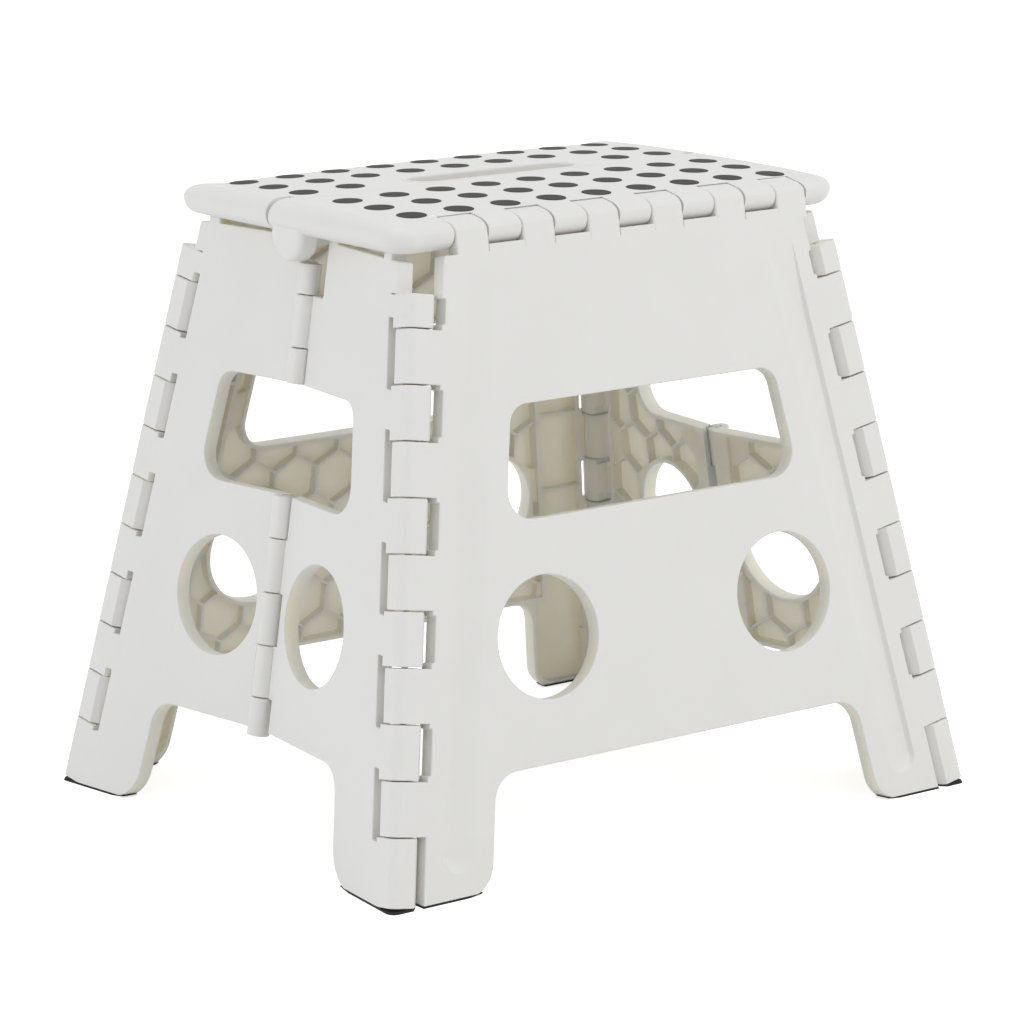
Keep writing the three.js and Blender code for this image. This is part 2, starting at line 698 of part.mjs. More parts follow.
function endSolid(hooked) {
  const notchBottom = hooked ? upperBarrels[1] : upperBarrels[0];
  const ribbed = [
    fromMiddle(endLeaf, endRibStart, archHeight),
    fromHinge(endLeaf, slotOuter, archHeight),
    fromHinge(endLeaf, slotOuter, cornerKnuckleTop),
    fromMiddle(endLeaf, endRibStart, cornerKnuckleTop),
  ];
  const window = [
    fromMiddle(endLeaf, -endWindowPost, windowBottom),
    fromHinge(endLeaf, endWindowPost, windowBottom, windowBottomRadius),
    fromHinge(endLeaf, endWindowPost, windowTop, windowTopRadius),
    fromMiddle(endLeaf, -endWindowPost, windowTop),
  ];
  const hole = fromMiddle(endLeaf, endHoleOffset, holeHeight);
  const plate = ribbedPlate(endOutline(notchBottom), ribbed, [window], [hole]);
  const tabs = supportTabShares.map((share) => -share * edgeY).map((start) => prism([
    fromMiddle(endLeaf, start, endTop - flange),
    fromMiddle(endLeaf, start + supportTabWidth, endTop - flange),
    fromMiddle(endLeaf, start + supportTabWidth, seatUnderside - seatedGap),
    fromMiddle(endLeaf, start, seatUnderside - seatedGap),
  ].map((corner) => point(corner.x, corner.y)), -shellDepth, 0));
  const knuckles = cornerKnuckles(endLeaf, endSpans).subtract(cornerBore(endLeaf));
  const body = joined([plate, knuckles, ...tabs]);
  const floor = belowHeight(endLeaf, padHeight + seatedGap);
  const hollow = legHollow(endLeaf, endFootRadius, skin);
  const own = hooked ? hookSpans : barrelSpans;
  const other = hooked ? barrelSpans : hookSpans;
  const rooms = other.map(([top, bottom]) => centrePrism(knuckleRoom(bottom), top, bottom));
  const solids = own.map(([top, bottom]) => {
    const section = hooked ? hookSection : circle(0, 0, barrelRadius);
    return centrePrism(section, top, bottom, -runningGap);
  });
  const bores = own.map(([top, bottom]) => {
    const radius = hooked ? barrelRadius - barrelWall : centreRodBore;
    return centrePrism(circle(0, 0, radius, hooked ? circleSteps : boreSteps), top, bottom, runningGap);
  });
  const slots = knuckleSlots(endLeaf, panelSpans, slotInner, notchBelow, notchAbove);
  const trimmed = [floor, hollow, slots, ...rooms].reduce((left, cut) => left.subtract(cut), body);
  return bores.reduce((left, cut) => left.subtract(cut), joined([trimmed, ...solids]));
}

// Seat leaf, drawn as the front one: rounded rim, notches for the panel's tongues, open ribs below
const edgeMatrix = frame(edgeOrigin, new THREE.Vector3(0, 1, 0), new THREE.Vector3(0, 0, 1));
const seamMatrix = frame(new THREE.Vector3(0, 0, centreHeight), new THREE.Vector3(0, 1, 0),
  new THREE.Vector3(0, 0, 1));
const mirroredSpans = (low, high) => [[low, high], [-high, -low]];

function seatBlank(seamSide = -seamGap / 2) {
  const outlines = [];
  const levels = [];
  for (let step = 0; step <= rimSteps; step += 1) {
    const angle = Math.PI * (step / rimSteps - 1 / 2);
    const inward = hingeDepth * (1 - Math.cos(angle));
    const x = seatLength / 2 - inward;
    const y = seatHalfDepth - inward;
    outlines.push(roundedOutline([
      { x: -x, y: seamSide, r: 0 },
      { x: -x, y: -y, r: seatCornerRadius - inward },
      { x, y: -y, r: seatCornerRadius - inward },
      { x, y: seamSide, r: 0 },
    ]));
    levels.push(edgeHeight + hingeDepth * Math.sin(angle));
  }
  return loft(outlines, levels);
}

function seatPockets(slotted) {
  const nearEdge = edgeY + hingeDepth + runningGap + flange;
  const depth = -seamBand - nearEdge;
  const reach = seatLength / 2 - pocketInset;
  const columns = Math.floor(2 * reach / seatCellWidth);
  const pitchX = 2 * reach / columns;
  const pitchY = depth / seatCellRows;
  const cells = [];
  for (let column = 0; column < columns; column += 1) {
    for (let row = 0; row < seatCellRows; row += 1) {
      const x = -reach + column * pitchX;
      const y = nearEdge + row * pitchY;
      cells.push([
        point(x + seatRib / 2, y + seatRib / 2),
        point(x + pitchX - seatRib / 2, y + seatRib / 2),
        point(x + pitchX - seatRib / 2, y + pitchY - seatRib / 2),
        point(x + seatRib / 2, y + pitchY - seatRib / 2),
      ]);
    }
  }
  const pockets = prism(cells, seatUnderside - overrun, stoolHeight - seatSkin);
  return slotted ? pockets.subtract(slotSolid(slotLip)) : pockets;
}

function slotSolid(margin) {
  const r = slotWidth / 2 + margin;
  const x = slotLength / 2 - slotWidth / 2;
  const y = -slotNear - slotWidth / 2;
  const outline = [
    ...arc(r, -Math.PI / 2, Math.PI / 2, 2 * arcSteps).map((place) => place.add(point(x, y))),
    ...arc(r, Math.PI / 2, 3 * Math.PI / 2, 2 * arcSteps).map((place) => place.add(point(-x, y))),
  ];
  return prism(outline, seatUnderside - overrun, stoolHeight + overrun);
}

// Low round grip discs on the top, in rows; the leaf with the hand slot has fewer in its first row
function gripDiscs(slotted) {
  const discs = [];
  for (let row = 0; row < dotRows; row += 1) {
    for (let column = 0; column < dotColumns; column += 1) {
      const offset = column - (dotColumns - 1) / 2;
      const overSlot = slotted && row === 0 && Math.abs(offset) <= slotColumns / 2;
      if (overSlot) continue;
      const x = offset * dotPitchXShare * seatLength;
      const y = (firstDotRowShare + row * dotPitchYShare) * seatHalfDepth;
      discs.push(circle(x, -y, dotRadius, dotSides));
    }
  }
  return prism(discs, stoolHeight - seatSkin / 2, stoolHeight + dotRise);
}

// Knuckles and lobes of the seat's centre hinge, as sections, spans along X and room round them
const lobeSpan = [seatLength / 2 - lobeInset - lobeWidth, seatLength / 2 - lobeInset];
const seamKnuckles = seamKnuckleShares.map((share) => share * seatLength);
const seamRodInner = seamKnuckles[0] - seamRodStart;
const seamRodOuter = seatLength / 2 - seamRodEnd;
const edgeRodEnd = seatLength / 2 - edgeRodInset;
function seamSpans(slotted) {
  const small = seamKnuckles.map((start) => [start, start + seamKnuckleWidth, seamKnuckleRadius]);
  const near = [small[1], [...lobeSpan, lobeRadius]];
  const far = [small[0], small[2]];
  return slotted ? { own: far, other: near } : { own: near, other: far };
}

// The near leaf's lobes rise to the top beyond the seam: outline round a lobe, grown by a gap
function lobeCap(gap) {
  const radius = lobeRadius + gap;
  const corner = point(lobeOverlap + gap, stoolHeight - centreHeight);
  const touch = corner.angle() - Math.acos(radius / corner.length());
  const high = overrun + corner.y;
  return [...arc(radius, Math.PI, 2 * Math.PI + touch, circleSteps), corner, point(corner.x, high),
    point(-radius, high)];
}
const capPrisms = (gap) => {
  const cap = prism(lobeCap(gap), lobeSpan[0] - gap, seatLength, seamMatrix);
  return [cap, moved(cap, flipX)];
};

function seatSolid(slotted) {
  const { own, other } = seamSpans(slotted);
  const along = (radius, low, high) => mirroredSpans(low, high).map(([from, to]) => (
    prism(circle(0, 0, radius), from, to, seamMatrix)
  ));
  const room = (radius, low, high) => along(radius + seamGap, low - runningGap, high + runningGap);
  const reach = hingeDepth + runningGap;
  const notch = [...arc(reach, -Math.PI / 2, Math.PI / 2, barrelSteps), point(-2 * reach, reach),
    point(-2 * reach, -reach)];
  const notches = [];
  for (let i = 0; i < edgeKnucklesPerPanel; i += 1) {
    notches.push(prism(notch, edgeBoundary(2 * i) - runningGap, edgeBoundary(2 * i + 1) + runningGap,
      edgeMatrix));
  }
  const bores = mirroredSpans(seamRodInner - runningGap, seamRodOuter + runningGap).map(([from, to]) => (
    prism(circle(0, 0, rodBore, boreSteps), from, to, seamMatrix)
  ));
  const edgeBore = prism(circle(0, 0, rodBore, boreSteps), -edgeRodEnd - runningGap,
    edgeRodEnd + runningGap, edgeMatrix);
  const rooms = other.flatMap(([low, high, radius]) => room(radius, low, high));
  const knuckles = own.flatMap(([low, high, radius]) => along(radius, low, high));
  const cuts = [seatPockets(slotted), ...notches, ...rooms, ...(slotted ? capPrisms(seamGap) : [])];
  const blank = cuts.reduce((left, cut) => left.subtract(cut), seatBlank().add(gripDiscs(slotted)));
  const turned = moved(seatBlank(seamGap), new THREE.Matrix4().makeRotationZ(Math.PI));
  const caps = slotted ? [] : capPrisms(0).map((cap) => cap.intersect(turned));
  const whole = joined([blank, ...knuckles, ...caps]);
  const holes = slotted ? [...bores, edgeBore, slotSolid(0)] : [...bores, edgeBore];
  return holes.reduce((left, cut) => left.subtract(cut), whole);
}

function addMesh(parent, name, solid, material, matrix) {
  const mesh = new THREE.Mesh(geometryOf(solid), material);
  mesh.name = name;
  if (matrix) mesh.applyMatrix4(matrix);
  parent.add(mesh);
}

// Everything of the front half; the back half is the same, turned about the vertical
const longPanel = panelSolid();
const panelPad = footPad(panelLeaf, panelFootRadius);
const hookLeaf = endSolid(true);
const barrelLeaf = endSolid(false);
const padLevels = [-overrun, alongCorner(padHeight) + overrun].map((level) => level * endLeaf.upwards);
const lowestKnuckle = prism(knuckleSection(), Math.min(...padLevels), Math.max(...padLevels), endLeaf.corner);
const endPad = footPad(endLeaf, endFootRadius, lowestKnuckle);
const cornerRod = rod(alongCorner(rodEndInset), alongCorner(cornerKnuckleTop - rodEndInset),
  frame(cornerFoot, new THREE.Vector3().crossVectors(endOut, cornerRun), endOut));
const edgeRod = rod(-edgeRodEnd, edgeRodEnd, edgeMatrix);
const upperRod = centreRod(upperBarrels);
const lowerRod = centreRod(lowerBarrels);

function centreRod(heights) {
  return prism(circle(0, 0, centreRodRadius, rodSides), downCentre(heights[0] - runningGap),
    downCentre(heights.at(-1) + runningGap), centreMatrix);
}

// Mirror image of a frame, for solids that are mirrored in their own plane
const mirroredFrame = flipX.clone().multiply(endFrame).multiply(flipX);

function addHalf(half, front, left, right, slotted) {
  addMesh(half, `${front}_panel`, longPanel, plastic, panelFrame);
  addMesh(half, `seat_${front}_half`, seatSolid(slotted), plastic);
  addMesh(half, `${left}_${front}_leaf`, hookLeaf, plastic, endFrame);
  addMesh(half, `${right}_${front}_leaf`, moved(barrelLeaf, flipX), plastic, mirroredFrame);
  addMesh(half, `${front}_${left}_panel_pad`, moved(panelPad, flipX), rubber, panelFrame);
  addMesh(half, `${front}_${right}_panel_pad`, panelPad, rubber, panelFrame);
  addMesh(half, `${left}_${front}_leaf_pad`, endPad, rubber, endFrame);
  addMesh(half, `${right}_${front}_leaf_pad`, moved(endPad, flipX), rubber, mirroredFrame);
  addMesh(half, `${front}_${left}_corner_rod`, cornerRod, steel);
  addMesh(half, `${front}_${right}_corner_rod`, moved(cornerRod, flipX), steel);
  addMesh(half, `${front}_edge_rod`, edgeRod, steel);
  addMesh(half, `${right}_upper_centre_rod`, moved(upperRod, flipX), steel, mirroredFrame);
  addMesh(half, `${right}_lower_centre_rod`, moved(lowerRod, flipX), steel, mirroredFrame);
}

const group = new THREE.Group();
addHalf(group, 'front', 'left', 'right', false);
const backHalf = new THREE.Group();
backHalf.rotation.z = Math.PI;
group.add(backHalf);
addHalf(backHalf, 'back', 'right', 'left', true);
const seamRod = prism(circle(0, 0, rodRadius, rodSides), seamRodInner, seamRodOuter, seamMatrix);
addMesh(group, 'right_seam_rod', seamRod, steel);
addMesh(group, 'left_seam_rod', moved(seamRod, flipX), steel);

export default group;
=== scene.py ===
# %% [markdown]
# # A folding step stool of moulded plastic
#
# The stool is eight white mouldings that hinge on each other, with black rubber under its feet and
# black grip discs on its seat. The solid model is already there as a fixed frame. This lesson gives
# it the looks of the real one: soft edges, satin plastic, rubber and plain studio light.

# %% Load the frame
import json
import math

import bmesh
import bpy
from mathutils import Matrix, Vector


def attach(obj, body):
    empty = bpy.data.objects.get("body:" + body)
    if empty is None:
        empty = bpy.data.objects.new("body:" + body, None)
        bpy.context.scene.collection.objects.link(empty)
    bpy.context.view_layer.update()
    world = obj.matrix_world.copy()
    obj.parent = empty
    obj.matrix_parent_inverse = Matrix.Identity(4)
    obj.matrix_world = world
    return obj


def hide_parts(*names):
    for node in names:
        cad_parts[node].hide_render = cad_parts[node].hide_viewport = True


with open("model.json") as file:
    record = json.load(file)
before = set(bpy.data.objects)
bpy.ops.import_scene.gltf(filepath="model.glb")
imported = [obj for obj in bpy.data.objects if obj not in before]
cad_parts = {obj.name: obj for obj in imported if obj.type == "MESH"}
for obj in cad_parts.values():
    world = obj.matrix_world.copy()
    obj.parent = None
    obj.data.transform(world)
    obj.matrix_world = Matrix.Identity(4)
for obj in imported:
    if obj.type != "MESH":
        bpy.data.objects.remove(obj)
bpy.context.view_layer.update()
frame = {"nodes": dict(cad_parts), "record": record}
scene = bpy.context.scene
MM = 0.001

# %% [markdown]
# ## The camera
#
# The photograph was taken from a little above, with a long lens, which keeps the legs almost
# parallel. A camera has a place, a heading, a tilt and a roll. The heading turns it about the
# vertical, the tilt lowers its nose. The lens is long, and a small shift puts the stool where the
# photograph has it. The camera comes first, because every later choice is judged through it.

# %% Place the camera
CAMERA_PLACE = (-1.586016, -2.097917, 0.757008)
CAMERA_HEADING = 0.6436
CAMERA_TILT = 0.2173
CAMERA_ROLL = -0.00659
SENSOR = 36.0
PHOTO_SIZE = 1024
FOCAL_SHARE = 4271.904 / PHOTO_SIZE
SHIFT_X = (PHOTO_SIZE / 2 - 494.433) / PHOTO_SIZE
SHIFT_Y = (511.34 - PHOTO_SIZE / 2) / PHOTO_SIZE


def in_scene(name, data):
    thing = bpy.data.objects.new(name, data)
    scene.collection.objects.link(thing)
    return thing


forward = Vector((
    math.sin(CAMERA_HEADING) * math.cos(CAMERA_TILT),
    math.cos(CAMERA_HEADING) * math.cos(CAMERA_TILT),
    -math.sin(CAMERA_TILT),
))
level_right = Vector((math.cos(CAMERA_HEADING), -math.sin(CAMERA_HEADING), 0))
level_up = level_right.cross(forward)
right = level_right * math.cos(CAMERA_ROLL) + level_up * math.sin(CAMERA_ROLL)
up = level_up * math.cos(CAMERA_ROLL) - level_right * math.sin(CAMERA_ROLL)

camera_data = bpy.data.cameras.new("camera")
camera_data.sensor_width = SENSOR
camera_data.lens = SENSOR * FOCAL_SHARE
camera_data.shift_x = SHIFT_X
camera_data.shift_y = SHIFT_Y
camera = in_scene("camera", camera_data)
facing = Matrix((right, up, -forward)).transposed().to_4x4()
camera.matrix_world = Matrix.Translation(CAMERA_PLACE) @ facing
scene.camera = camera
print("lens, mm:", round(camera_data.lens, 1))

# %% [markdown]
# ## Building a material from nodes
#
# Every finish below is a small tree of nodes. A few helpers make the nodes and feed their sockets,
# with a plain value or with another node's output, so each material reads as a short list. Patterns
# read Object coordinates, which are metres here: one over the size of a grain is its scale.

# %% Node helpers
def new_material(name):
    material = bpy.data.materials.new(name)
    material.use_nodes = True
    tree = material.node_tree
    shader = tree.nodes["Principled BSDF"]
    return material, tree, shader


def feed(tree, node, inputs):
    for key, value in inputs.items():
        if isinstance(value, bpy.types.NodeSocket):
            tree.links.new(value, node.inputs[key])
        else:
            node.inputs[key].default_value = value


def add(tree, kind, inputs=None, **settings):
    node = tree.nodes.new(kind)
    for key, value in settings.items():
        setattr(node, key, value)
    feed(tree, node, inputs or {})
    return node


def noise(tree, scale, detail):
    place = add(tree, "ShaderNodeTexCoord").outputs["Object"]
    cloud = add(tree, "ShaderNodeTexNoise", {"Vector": place, "Scale": scale, "Detail": detail})
    return cloud.outputs["Fac"]


def two_tone(tree, share, dark, light, edges=(0, 1)):
    ramp = add(tree, "ShaderNodeValToRGB", {"Fac": share})
    for element, color, edge in zip(ramp.color_ramp.elements, (dark, light), edges):
        element.color = (*color, 1)
        element.position = edge
    return ramp.outputs["Color"]


def spread(tree, share, low, high):
    level = add(tree, "ShaderNodeMapRange", {"Value": share, "To Min": low, "To Max": high})
    return level.outputs["Result"]


def relief(tree, height, strength, depth):
    bump = add(tree, "ShaderNodeBump", {"Height": height, "Strength": strength, "Distance": depth})
    return bump.outputs["Normal"]


# %% [markdown]
# ## Satin moulded plastic
#
# The mould leaves a very fine, even grain on a warm white. Deep inside the stool, light bounces from
# plastic to plastic, passes through the thin ribs and turns cream. Bounces alone would need far more
# of them than is quick, so the inner faces get a second plastic, creamier as painted bounce light in
# the shade, and with light let in below its surface. Both need a fine grain in the bump, a faint cloud
# in the colour where the melt cooled unevenly, and roughness that varies a little, as handling polishes
# the high spots.

# %% Plastic
GRAIN = 0.0007
GRAIN_STRENGTH = 0.4
GRAIN_DEPTH = 0.02 * MM
CLOUD = 0.045
CLOUD_EDGES = (0.3, 0.7)
HANDLING = 0.05
PLASTIC_IOR = 1.49
PLASTIC_GLOSS = 0.4
GLOW_REACH = (1.0, 0.85, 0.65)
GLOW_DEPTH = 0.006


def plastic(name, light, dark, roughness, glow):
    material, tree, shader = new_material(name)
    cloud = noise(tree, 1 / CLOUD, 3.0)
    feed(tree, shader, {
        "Base Color": two_tone(tree, cloud, dark, light, CLOUD_EDGES),
        "Roughness": spread(tree, cloud, roughness - HANDLING, roughness + HANDLING),
        "Normal": relief(tree, noise(tree, 1 / GRAIN, 2.0), GRAIN_STRENGTH, GRAIN_DEPTH),
        "IOR": PLASTIC_IOR,
        "Specular IOR Level": PLASTIC_GLOSS,
        "Subsurface Weight": glow,
        "Subsurface Radius": GLOW_REACH,
        "Subsurface Scale": GLOW_DEPTH,
    })
    return material


white_plastic = plastic("white_plastic", (0.80, 0.79, 0.765), (0.785, 0.775, 0.75), 0.45, 0.0)
# painted bounce light: a creamier copy of the white plastic for the faces in the shade
painted_bounce_plastic = plastic("painted_bounce_plastic", (0.92, 0.885, 0.80), (0.905, 0.87, 0.78), 0.5, 1.0)
print("plastics:", white_plastic.name, painted_bounce_plastic.name)

# %% [markdown]
# ## Rubber and steel
#
# The pads under the feet are matte black rubber. The grip discs are a dark rubber with a finer
# speckle, a little lighter than the pads: painted light, as the top of the seat is lit and the feet are in
# shade.
# The hinge rods are drawn steel wire: fine noise in the roughness stands for the faint marks of
# drawing, which is all that shows of so thin a rod.

# %% Rubber and steel materials
SPECK_TONES = (0.75, 1.3)
SPECK_STRENGTH = 0.5
SPECK_DEPTH = 0.05 * MM
RUBBER_GLOSS = 0.3
STEEL_MARKS = 900.0
STEEL_ROUGHNESS = (0.25, 0.4)
STEEL_COLOR = (0.56, 0.57, 0.58, 1)


def rubber(name, color, roughness, speck):
    material, tree, shader = new_material(name)
    grain = noise(tree, 1 / speck, 4.0)
    dark, light = [[c * tone for c in color] for tone in SPECK_TONES]
    feed(tree, shader, {
        "Base Color": two_tone(tree, grain, dark, light),
        "Normal": relief(tree, grain, SPECK_STRENGTH, SPECK_DEPTH),
        "Roughness": roughness,
        "Specular IOR Level": RUBBER_GLOSS,
    })
    return material


def drawn_steel(name):
    material, tree, shader = new_material(name)
    feed(tree, shader, {
        "Base Color": STEEL_COLOR,
        "Roughness": spread(tree, noise(tree, STEEL_MARKS, 2.0), *STEEL_ROUGHNESS),
        "Metallic": 1.0,
    })
    return material


pad_rubber = rubber("pad_rubber", (0.016, 0.016, 0.017), 0.75, 0.0009)
# painted light: a little lighter than the pads, for the lit top of the seat
disc_rubber = rubber("disc_rubber", (0.02, 0.0193, 0.0182), 0.65, 0.0006)
steel = drawn_steel("drawn_steel")
print("rubber and steel:", pad_rubber.name, disc_rubber.name, steel.name)

# %% [markdown]
# ## The sizes of the stool
#
# The frame holds the solids, but its arcs are coarse and its rims are sharp. A Bevel modifier on
# them would trip over the many cuts. The mouldings are therefore made again here from the same sizes,
# with fine arcs and softly rounded rims, and each takes the place of its solid. All sizes are in
# millimetres until a piece is finished.

# %% Sizes shared by the mouldings
STOOL_HEIGHT = 390.0
BASE_DEPTH = 364.8
BASE_LENGTH = 405.4
PANEL_LEAN = math.radians(9.65)
END_LEAN = math.radians(8.81)
END_FOLD = math.radians(82.9)
SHELL = 10.0
SKIN = 2.2
FLANGE = 3.0
RIB = 2.0
RIB_DROP = 2.0
CELL_PITCH = 32.5
HINGE_DEPTH = 10.5
SET_BACK = 11.6
RUNNING_GAP = 0.4
SEATED_GAP = 0.3
PAD_HEIGHT = 2.8
PAD_SHOWN = 1.4
OVERRUN = 5.0
RIM = 0.9
INNER_RIM = 0.4
FAR = 900.0
ARC_STEPS = 8
RIM_STEPS = 3
HOLE_STEPS = 72
ROUND_STEPS = 24

# %% [markdown]
# ## Outlines
#
# Every moulding starts as a flat outline: corner points, each with its own radius. One helper draws
# the arcs. Another moves a whole outline inwards, which is all that a rounded rim needs: the
# outline shrinks a little at each level as it nears the face.

# %% Outline helpers
MITRE_LIMIT = 0.4


def rounded(corners):
    points = []
    for i, (x, y, r) in enumerate(corners):
        here = Vector((x, y))
        back = (Vector(corners[i - 1][:2]) - here).normalized()
        ahead = (Vector(corners[(i + 1) % len(corners)][:2]) - here).normalized()
        if r <= 0:
            points.append(here)
            continue
        half = back.angle(ahead) / 2
        centre = here + (back + ahead).normalized() * r / math.sin(half)
        start = here + back * r / math.tan(half) - centre
        end = here + ahead * r / math.tan(half) - centre
        sweep = math.atan2(start.x * end.y - start.y * end.x, start.dot(end))
        for step in range(ARC_STEPS + 1):
            points.append(centre + Matrix.Rotation(sweep * step / ARC_STEPS, 2) @ start)
    return points


def inset(outline, distance):
    moved = []
    for i, here in enumerate(outline):
        arriving = (here - outline[i - 1]).normalized()
        leaving = (outline[(i + 1) % len(outline)] - here).normalized()
        first = Vector((-arriving.y, arriving.x))
        second = Vector((-leaving.y, leaving.x))
        share = max(1 + first.dot(second), MITRE_LIMIT)
        moved.append(here + (first + second) * distance / share)
    return moved


def counterclockwise(outline):
    area = sum(a.x * b.y - a.y * b.x for a, b in zip(outline, outline[1:] + outline[:1]))
    return outline if area > 0 else outline[::-1]


def ring(x, y, radius, steps=ROUND_STEPS):
    turns = [2 * math.pi * (step + 0.5) / steps for step in range(steps)]
    return [Vector((x + radius * math.cos(t), y + radius * math.sin(t))) for t in turns]


def arc(radius, start, end, steps):
    turns = [start + (end - start) * step / steps for step in range(steps + 1)]
    return [Vector((radius * math.cos(t), radius * math.sin(t))) for t in turns]


# %% [markdown]
# ## From outline to solid
#
# A loft joins matching outlines, each at its own level, and closes both ends. With the outline
# drawn in near the ends it becomes a plate with rounded rims. A cutter is the same thing the
# other way round: it flares where it leaves the plate, and so rounds the rim of the hole it cuts.

# %% Lofts, plates and cutters
SNAP = 4


def solid(verts, faces, matrix):
    mesh = bpy.data.meshes.new("solid")
    if matrix is not None:
        verts = [matrix @ Vector(v) for v in verts]
    mesh.from_pydata([[round(c, SNAP) for c in v] for v in verts], [], faces)
    if matrix is not None and matrix.determinant() < 0:
        mesh.flip_normals()
    return mesh


def loft(outlines, levels, matrix=None):
    count = len(outlines[0])
    verts = [(p.x, p.y, level) for outline, level in zip(outlines, levels) for p in outline]
    last = len(verts) - count
    faces = [list(range(count))[::-1], [last + i for i in range(count)]]
    for start in range(0, last, count):
        for i in range(count):
            a, b = start + i, start + (i + 1) % count
            faces.append([a, b, b + count, a + count])
    return solid(verts, faces, matrix)


def plate(outline, low, high, low_rim=0.0, high_rim=0.0, matrix=None):
    entries = []
    for rim, level, side in ((low_rim, low, 1), (high_rim, high, -1)):
        part = []
        for step in range(RIM_STEPS + 1) if rim else [RIM_STEPS]:
            turn = math.pi / 2 * step / RIM_STEPS
            shrunk = inset(outline, rim * (1 - math.sin(turn)))
            part.append((shrunk, level + side * rim * (1 - math.cos(turn))))
        entries += part if side > 0 else part[::-1]
    outlines, levels = zip(*entries)
    return loft(outlines, levels, matrix)


def cutter(outline, low, high, rim=RIM, past=OVERRUN):
    outlines = [inset(outline, -INNER_RIM), inset(outline, -INNER_RIM), outline]
    levels = [low - past, low, low + INNER_RIM]
    for step in range(RIM_STEPS + 1):
        turn = math.pi / 2 * step / RIM_STEPS
        outlines.append(inset(outline, -rim * (1 - math.cos(turn))))
        levels.append(high - rim * (1 - math.sin(turn)))
    outlines.append(outlines[-1])
    levels.append(high + OVERRUN)
    return loft(outlines, levels)


def prism(outline, low, high, matrix=None):
    return loft([outline, outline], [low, high], matrix)


def block(x, y, z, matrix=None):
    outline = [Vector((x[0], y[0])), Vector((x[1], y[0])), Vector((x[1], y[1])), Vector((x[0], y[1]))]
    return prism(outline, z[0], z[1], matrix)


# %% [markdown]
# ## Joining and cutting
#
# The Boolean modifier does what a mould maker does with steel: it adds and takes away. The
# Manifold solver is quick and keeps every piece closed. Parts that do not touch each other can go
# in one mesh and be cut in one go.

# %% Boolean helpers
MIRROR_X = Matrix.Scale(-1, 4, (1, 0, 0))
HALF_TURN = Matrix.Rotation(math.pi, 4, "Z")


def opened(*meshes):
    work = bmesh.new()
    for mesh in meshes:
        work.from_mesh(mesh)
    return work


def stored(work, mesh):
    work.to_mesh(mesh)
    work.free()
    return mesh


def gathered(meshes):
    return stored(opened(*meshes), bpy.data.meshes.new("gathered"))


def settled(thing):
    bpy.context.view_layer.update()
    graph = bpy.context.evaluated_depsgraph_get()
    return bpy.data.meshes.new_from_object(thing.evaluated_get(graph))


def mixed(base, other, operation):
    holder, tool = in_scene("holder", base), in_scene("tool", other)
    step = holder.modifiers.new("mix", "BOOLEAN")
    step.operation = operation
    step.solver = "MANIFOLD"
    step.object = tool
    result = settled(holder)
    for thing in (holder, tool):
        bpy.data.objects.remove(thing)
    work = opened(result)
    for vert in work.verts:
        vert.co = [round(c, SNAP) for c in vert.co]
    bmesh.ops.remove_doubles(work, verts=work.verts, dist=10 ** -SNAP)
    bmesh.ops.dissolve_degenerate(work, edges=work.edges, dist=10 ** -SNAP)
    return stored(work, result)


def joined(*meshes):
    whole = meshes[0]
    for mesh in meshes[1:]:
        whole = mixed(whole, mesh, "UNION")
    return whole


def cut(base, *tools):
    for tool in tools:
        base = mixed(base, tool, "DIFFERENCE")
    return base


def mirrored(mesh):
    copy = mesh.copy()
    copy.transform(MIRROR_X)
    copy.flip_normals()
    return copy


# %% [markdown]
# ## Where the leaves lie
#
# Each leaf is drawn flat, in its own plane: u runs across, v runs up the slope, and w points
# outwards. A matrix then stands it in its place. The corner hinge is the line that lies the same
# depth below both outer faces, so it comes from the two planes and is not measured.

# %% Planes and hinge lines
def basis(origin, first, second):
    third = first.cross(second)
    matrix = Matrix((first, second, third)).transposed().to_4x4()
    matrix.translation = origin
    return matrix


panel_slope = Vector((0, math.sin(PANEL_LEAN), math.cos(PANEL_LEAN)))
panel_origin = Vector((0, -BASE_DEPTH / 2, 0))
panel_plane = basis(panel_origin, Vector((1, 0, 0)), panel_slope)
panel_out = panel_plane.col[2].xyz

end_origin = Vector((-BASE_LENGTH / 2, 0, 0))
end_slope = Vector((math.sin(END_LEAN), 0, math.cos(END_LEAN)))
end_level = Vector((-math.cos(END_FOLD), -math.sin(END_FOLD), 0))
end_across = (end_level - end_slope * end_level.dot(end_slope)).normalized()
end_plane = basis(end_origin, end_across, end_slope)
end_out = end_plane.col[2].xyz

corner_run = end_out.cross(panel_out).normalized()
foot_y = (panel_out.dot(panel_origin) - HINGE_DEPTH) / panel_out.y
foot_x = (end_out.dot(end_origin) - HINGE_DEPTH - end_out.y * foot_y) / end_out.x
corner_foot = Vector((foot_x, foot_y, 0))
corner_angle = math.pi - panel_out.angle(end_out)
edge_z = STOOL_HEIGHT - HINGE_DEPTH
edge_y = -BASE_DEPTH / 2 + edge_z * math.tan(PANEL_LEAN) + HINGE_DEPTH / math.cos(PANEL_LEAN)
edge_reach = -(corner_foot + corner_run * (edge_z / corner_run.z)).x
print("corner hinge foot", [round(c, 2) for c in corner_foot], "edge hinge y", round(edge_y, 2))

# %% [markdown]
# ## A leaf's own coordinates
#
# The leaves lean two ways at once, so no edge of theirs is plumb. What counts on the real stool is
# how far a corner lies from its hinge and how high it stands, and a leaf turns those two numbers
# into a point of its flat drawing.

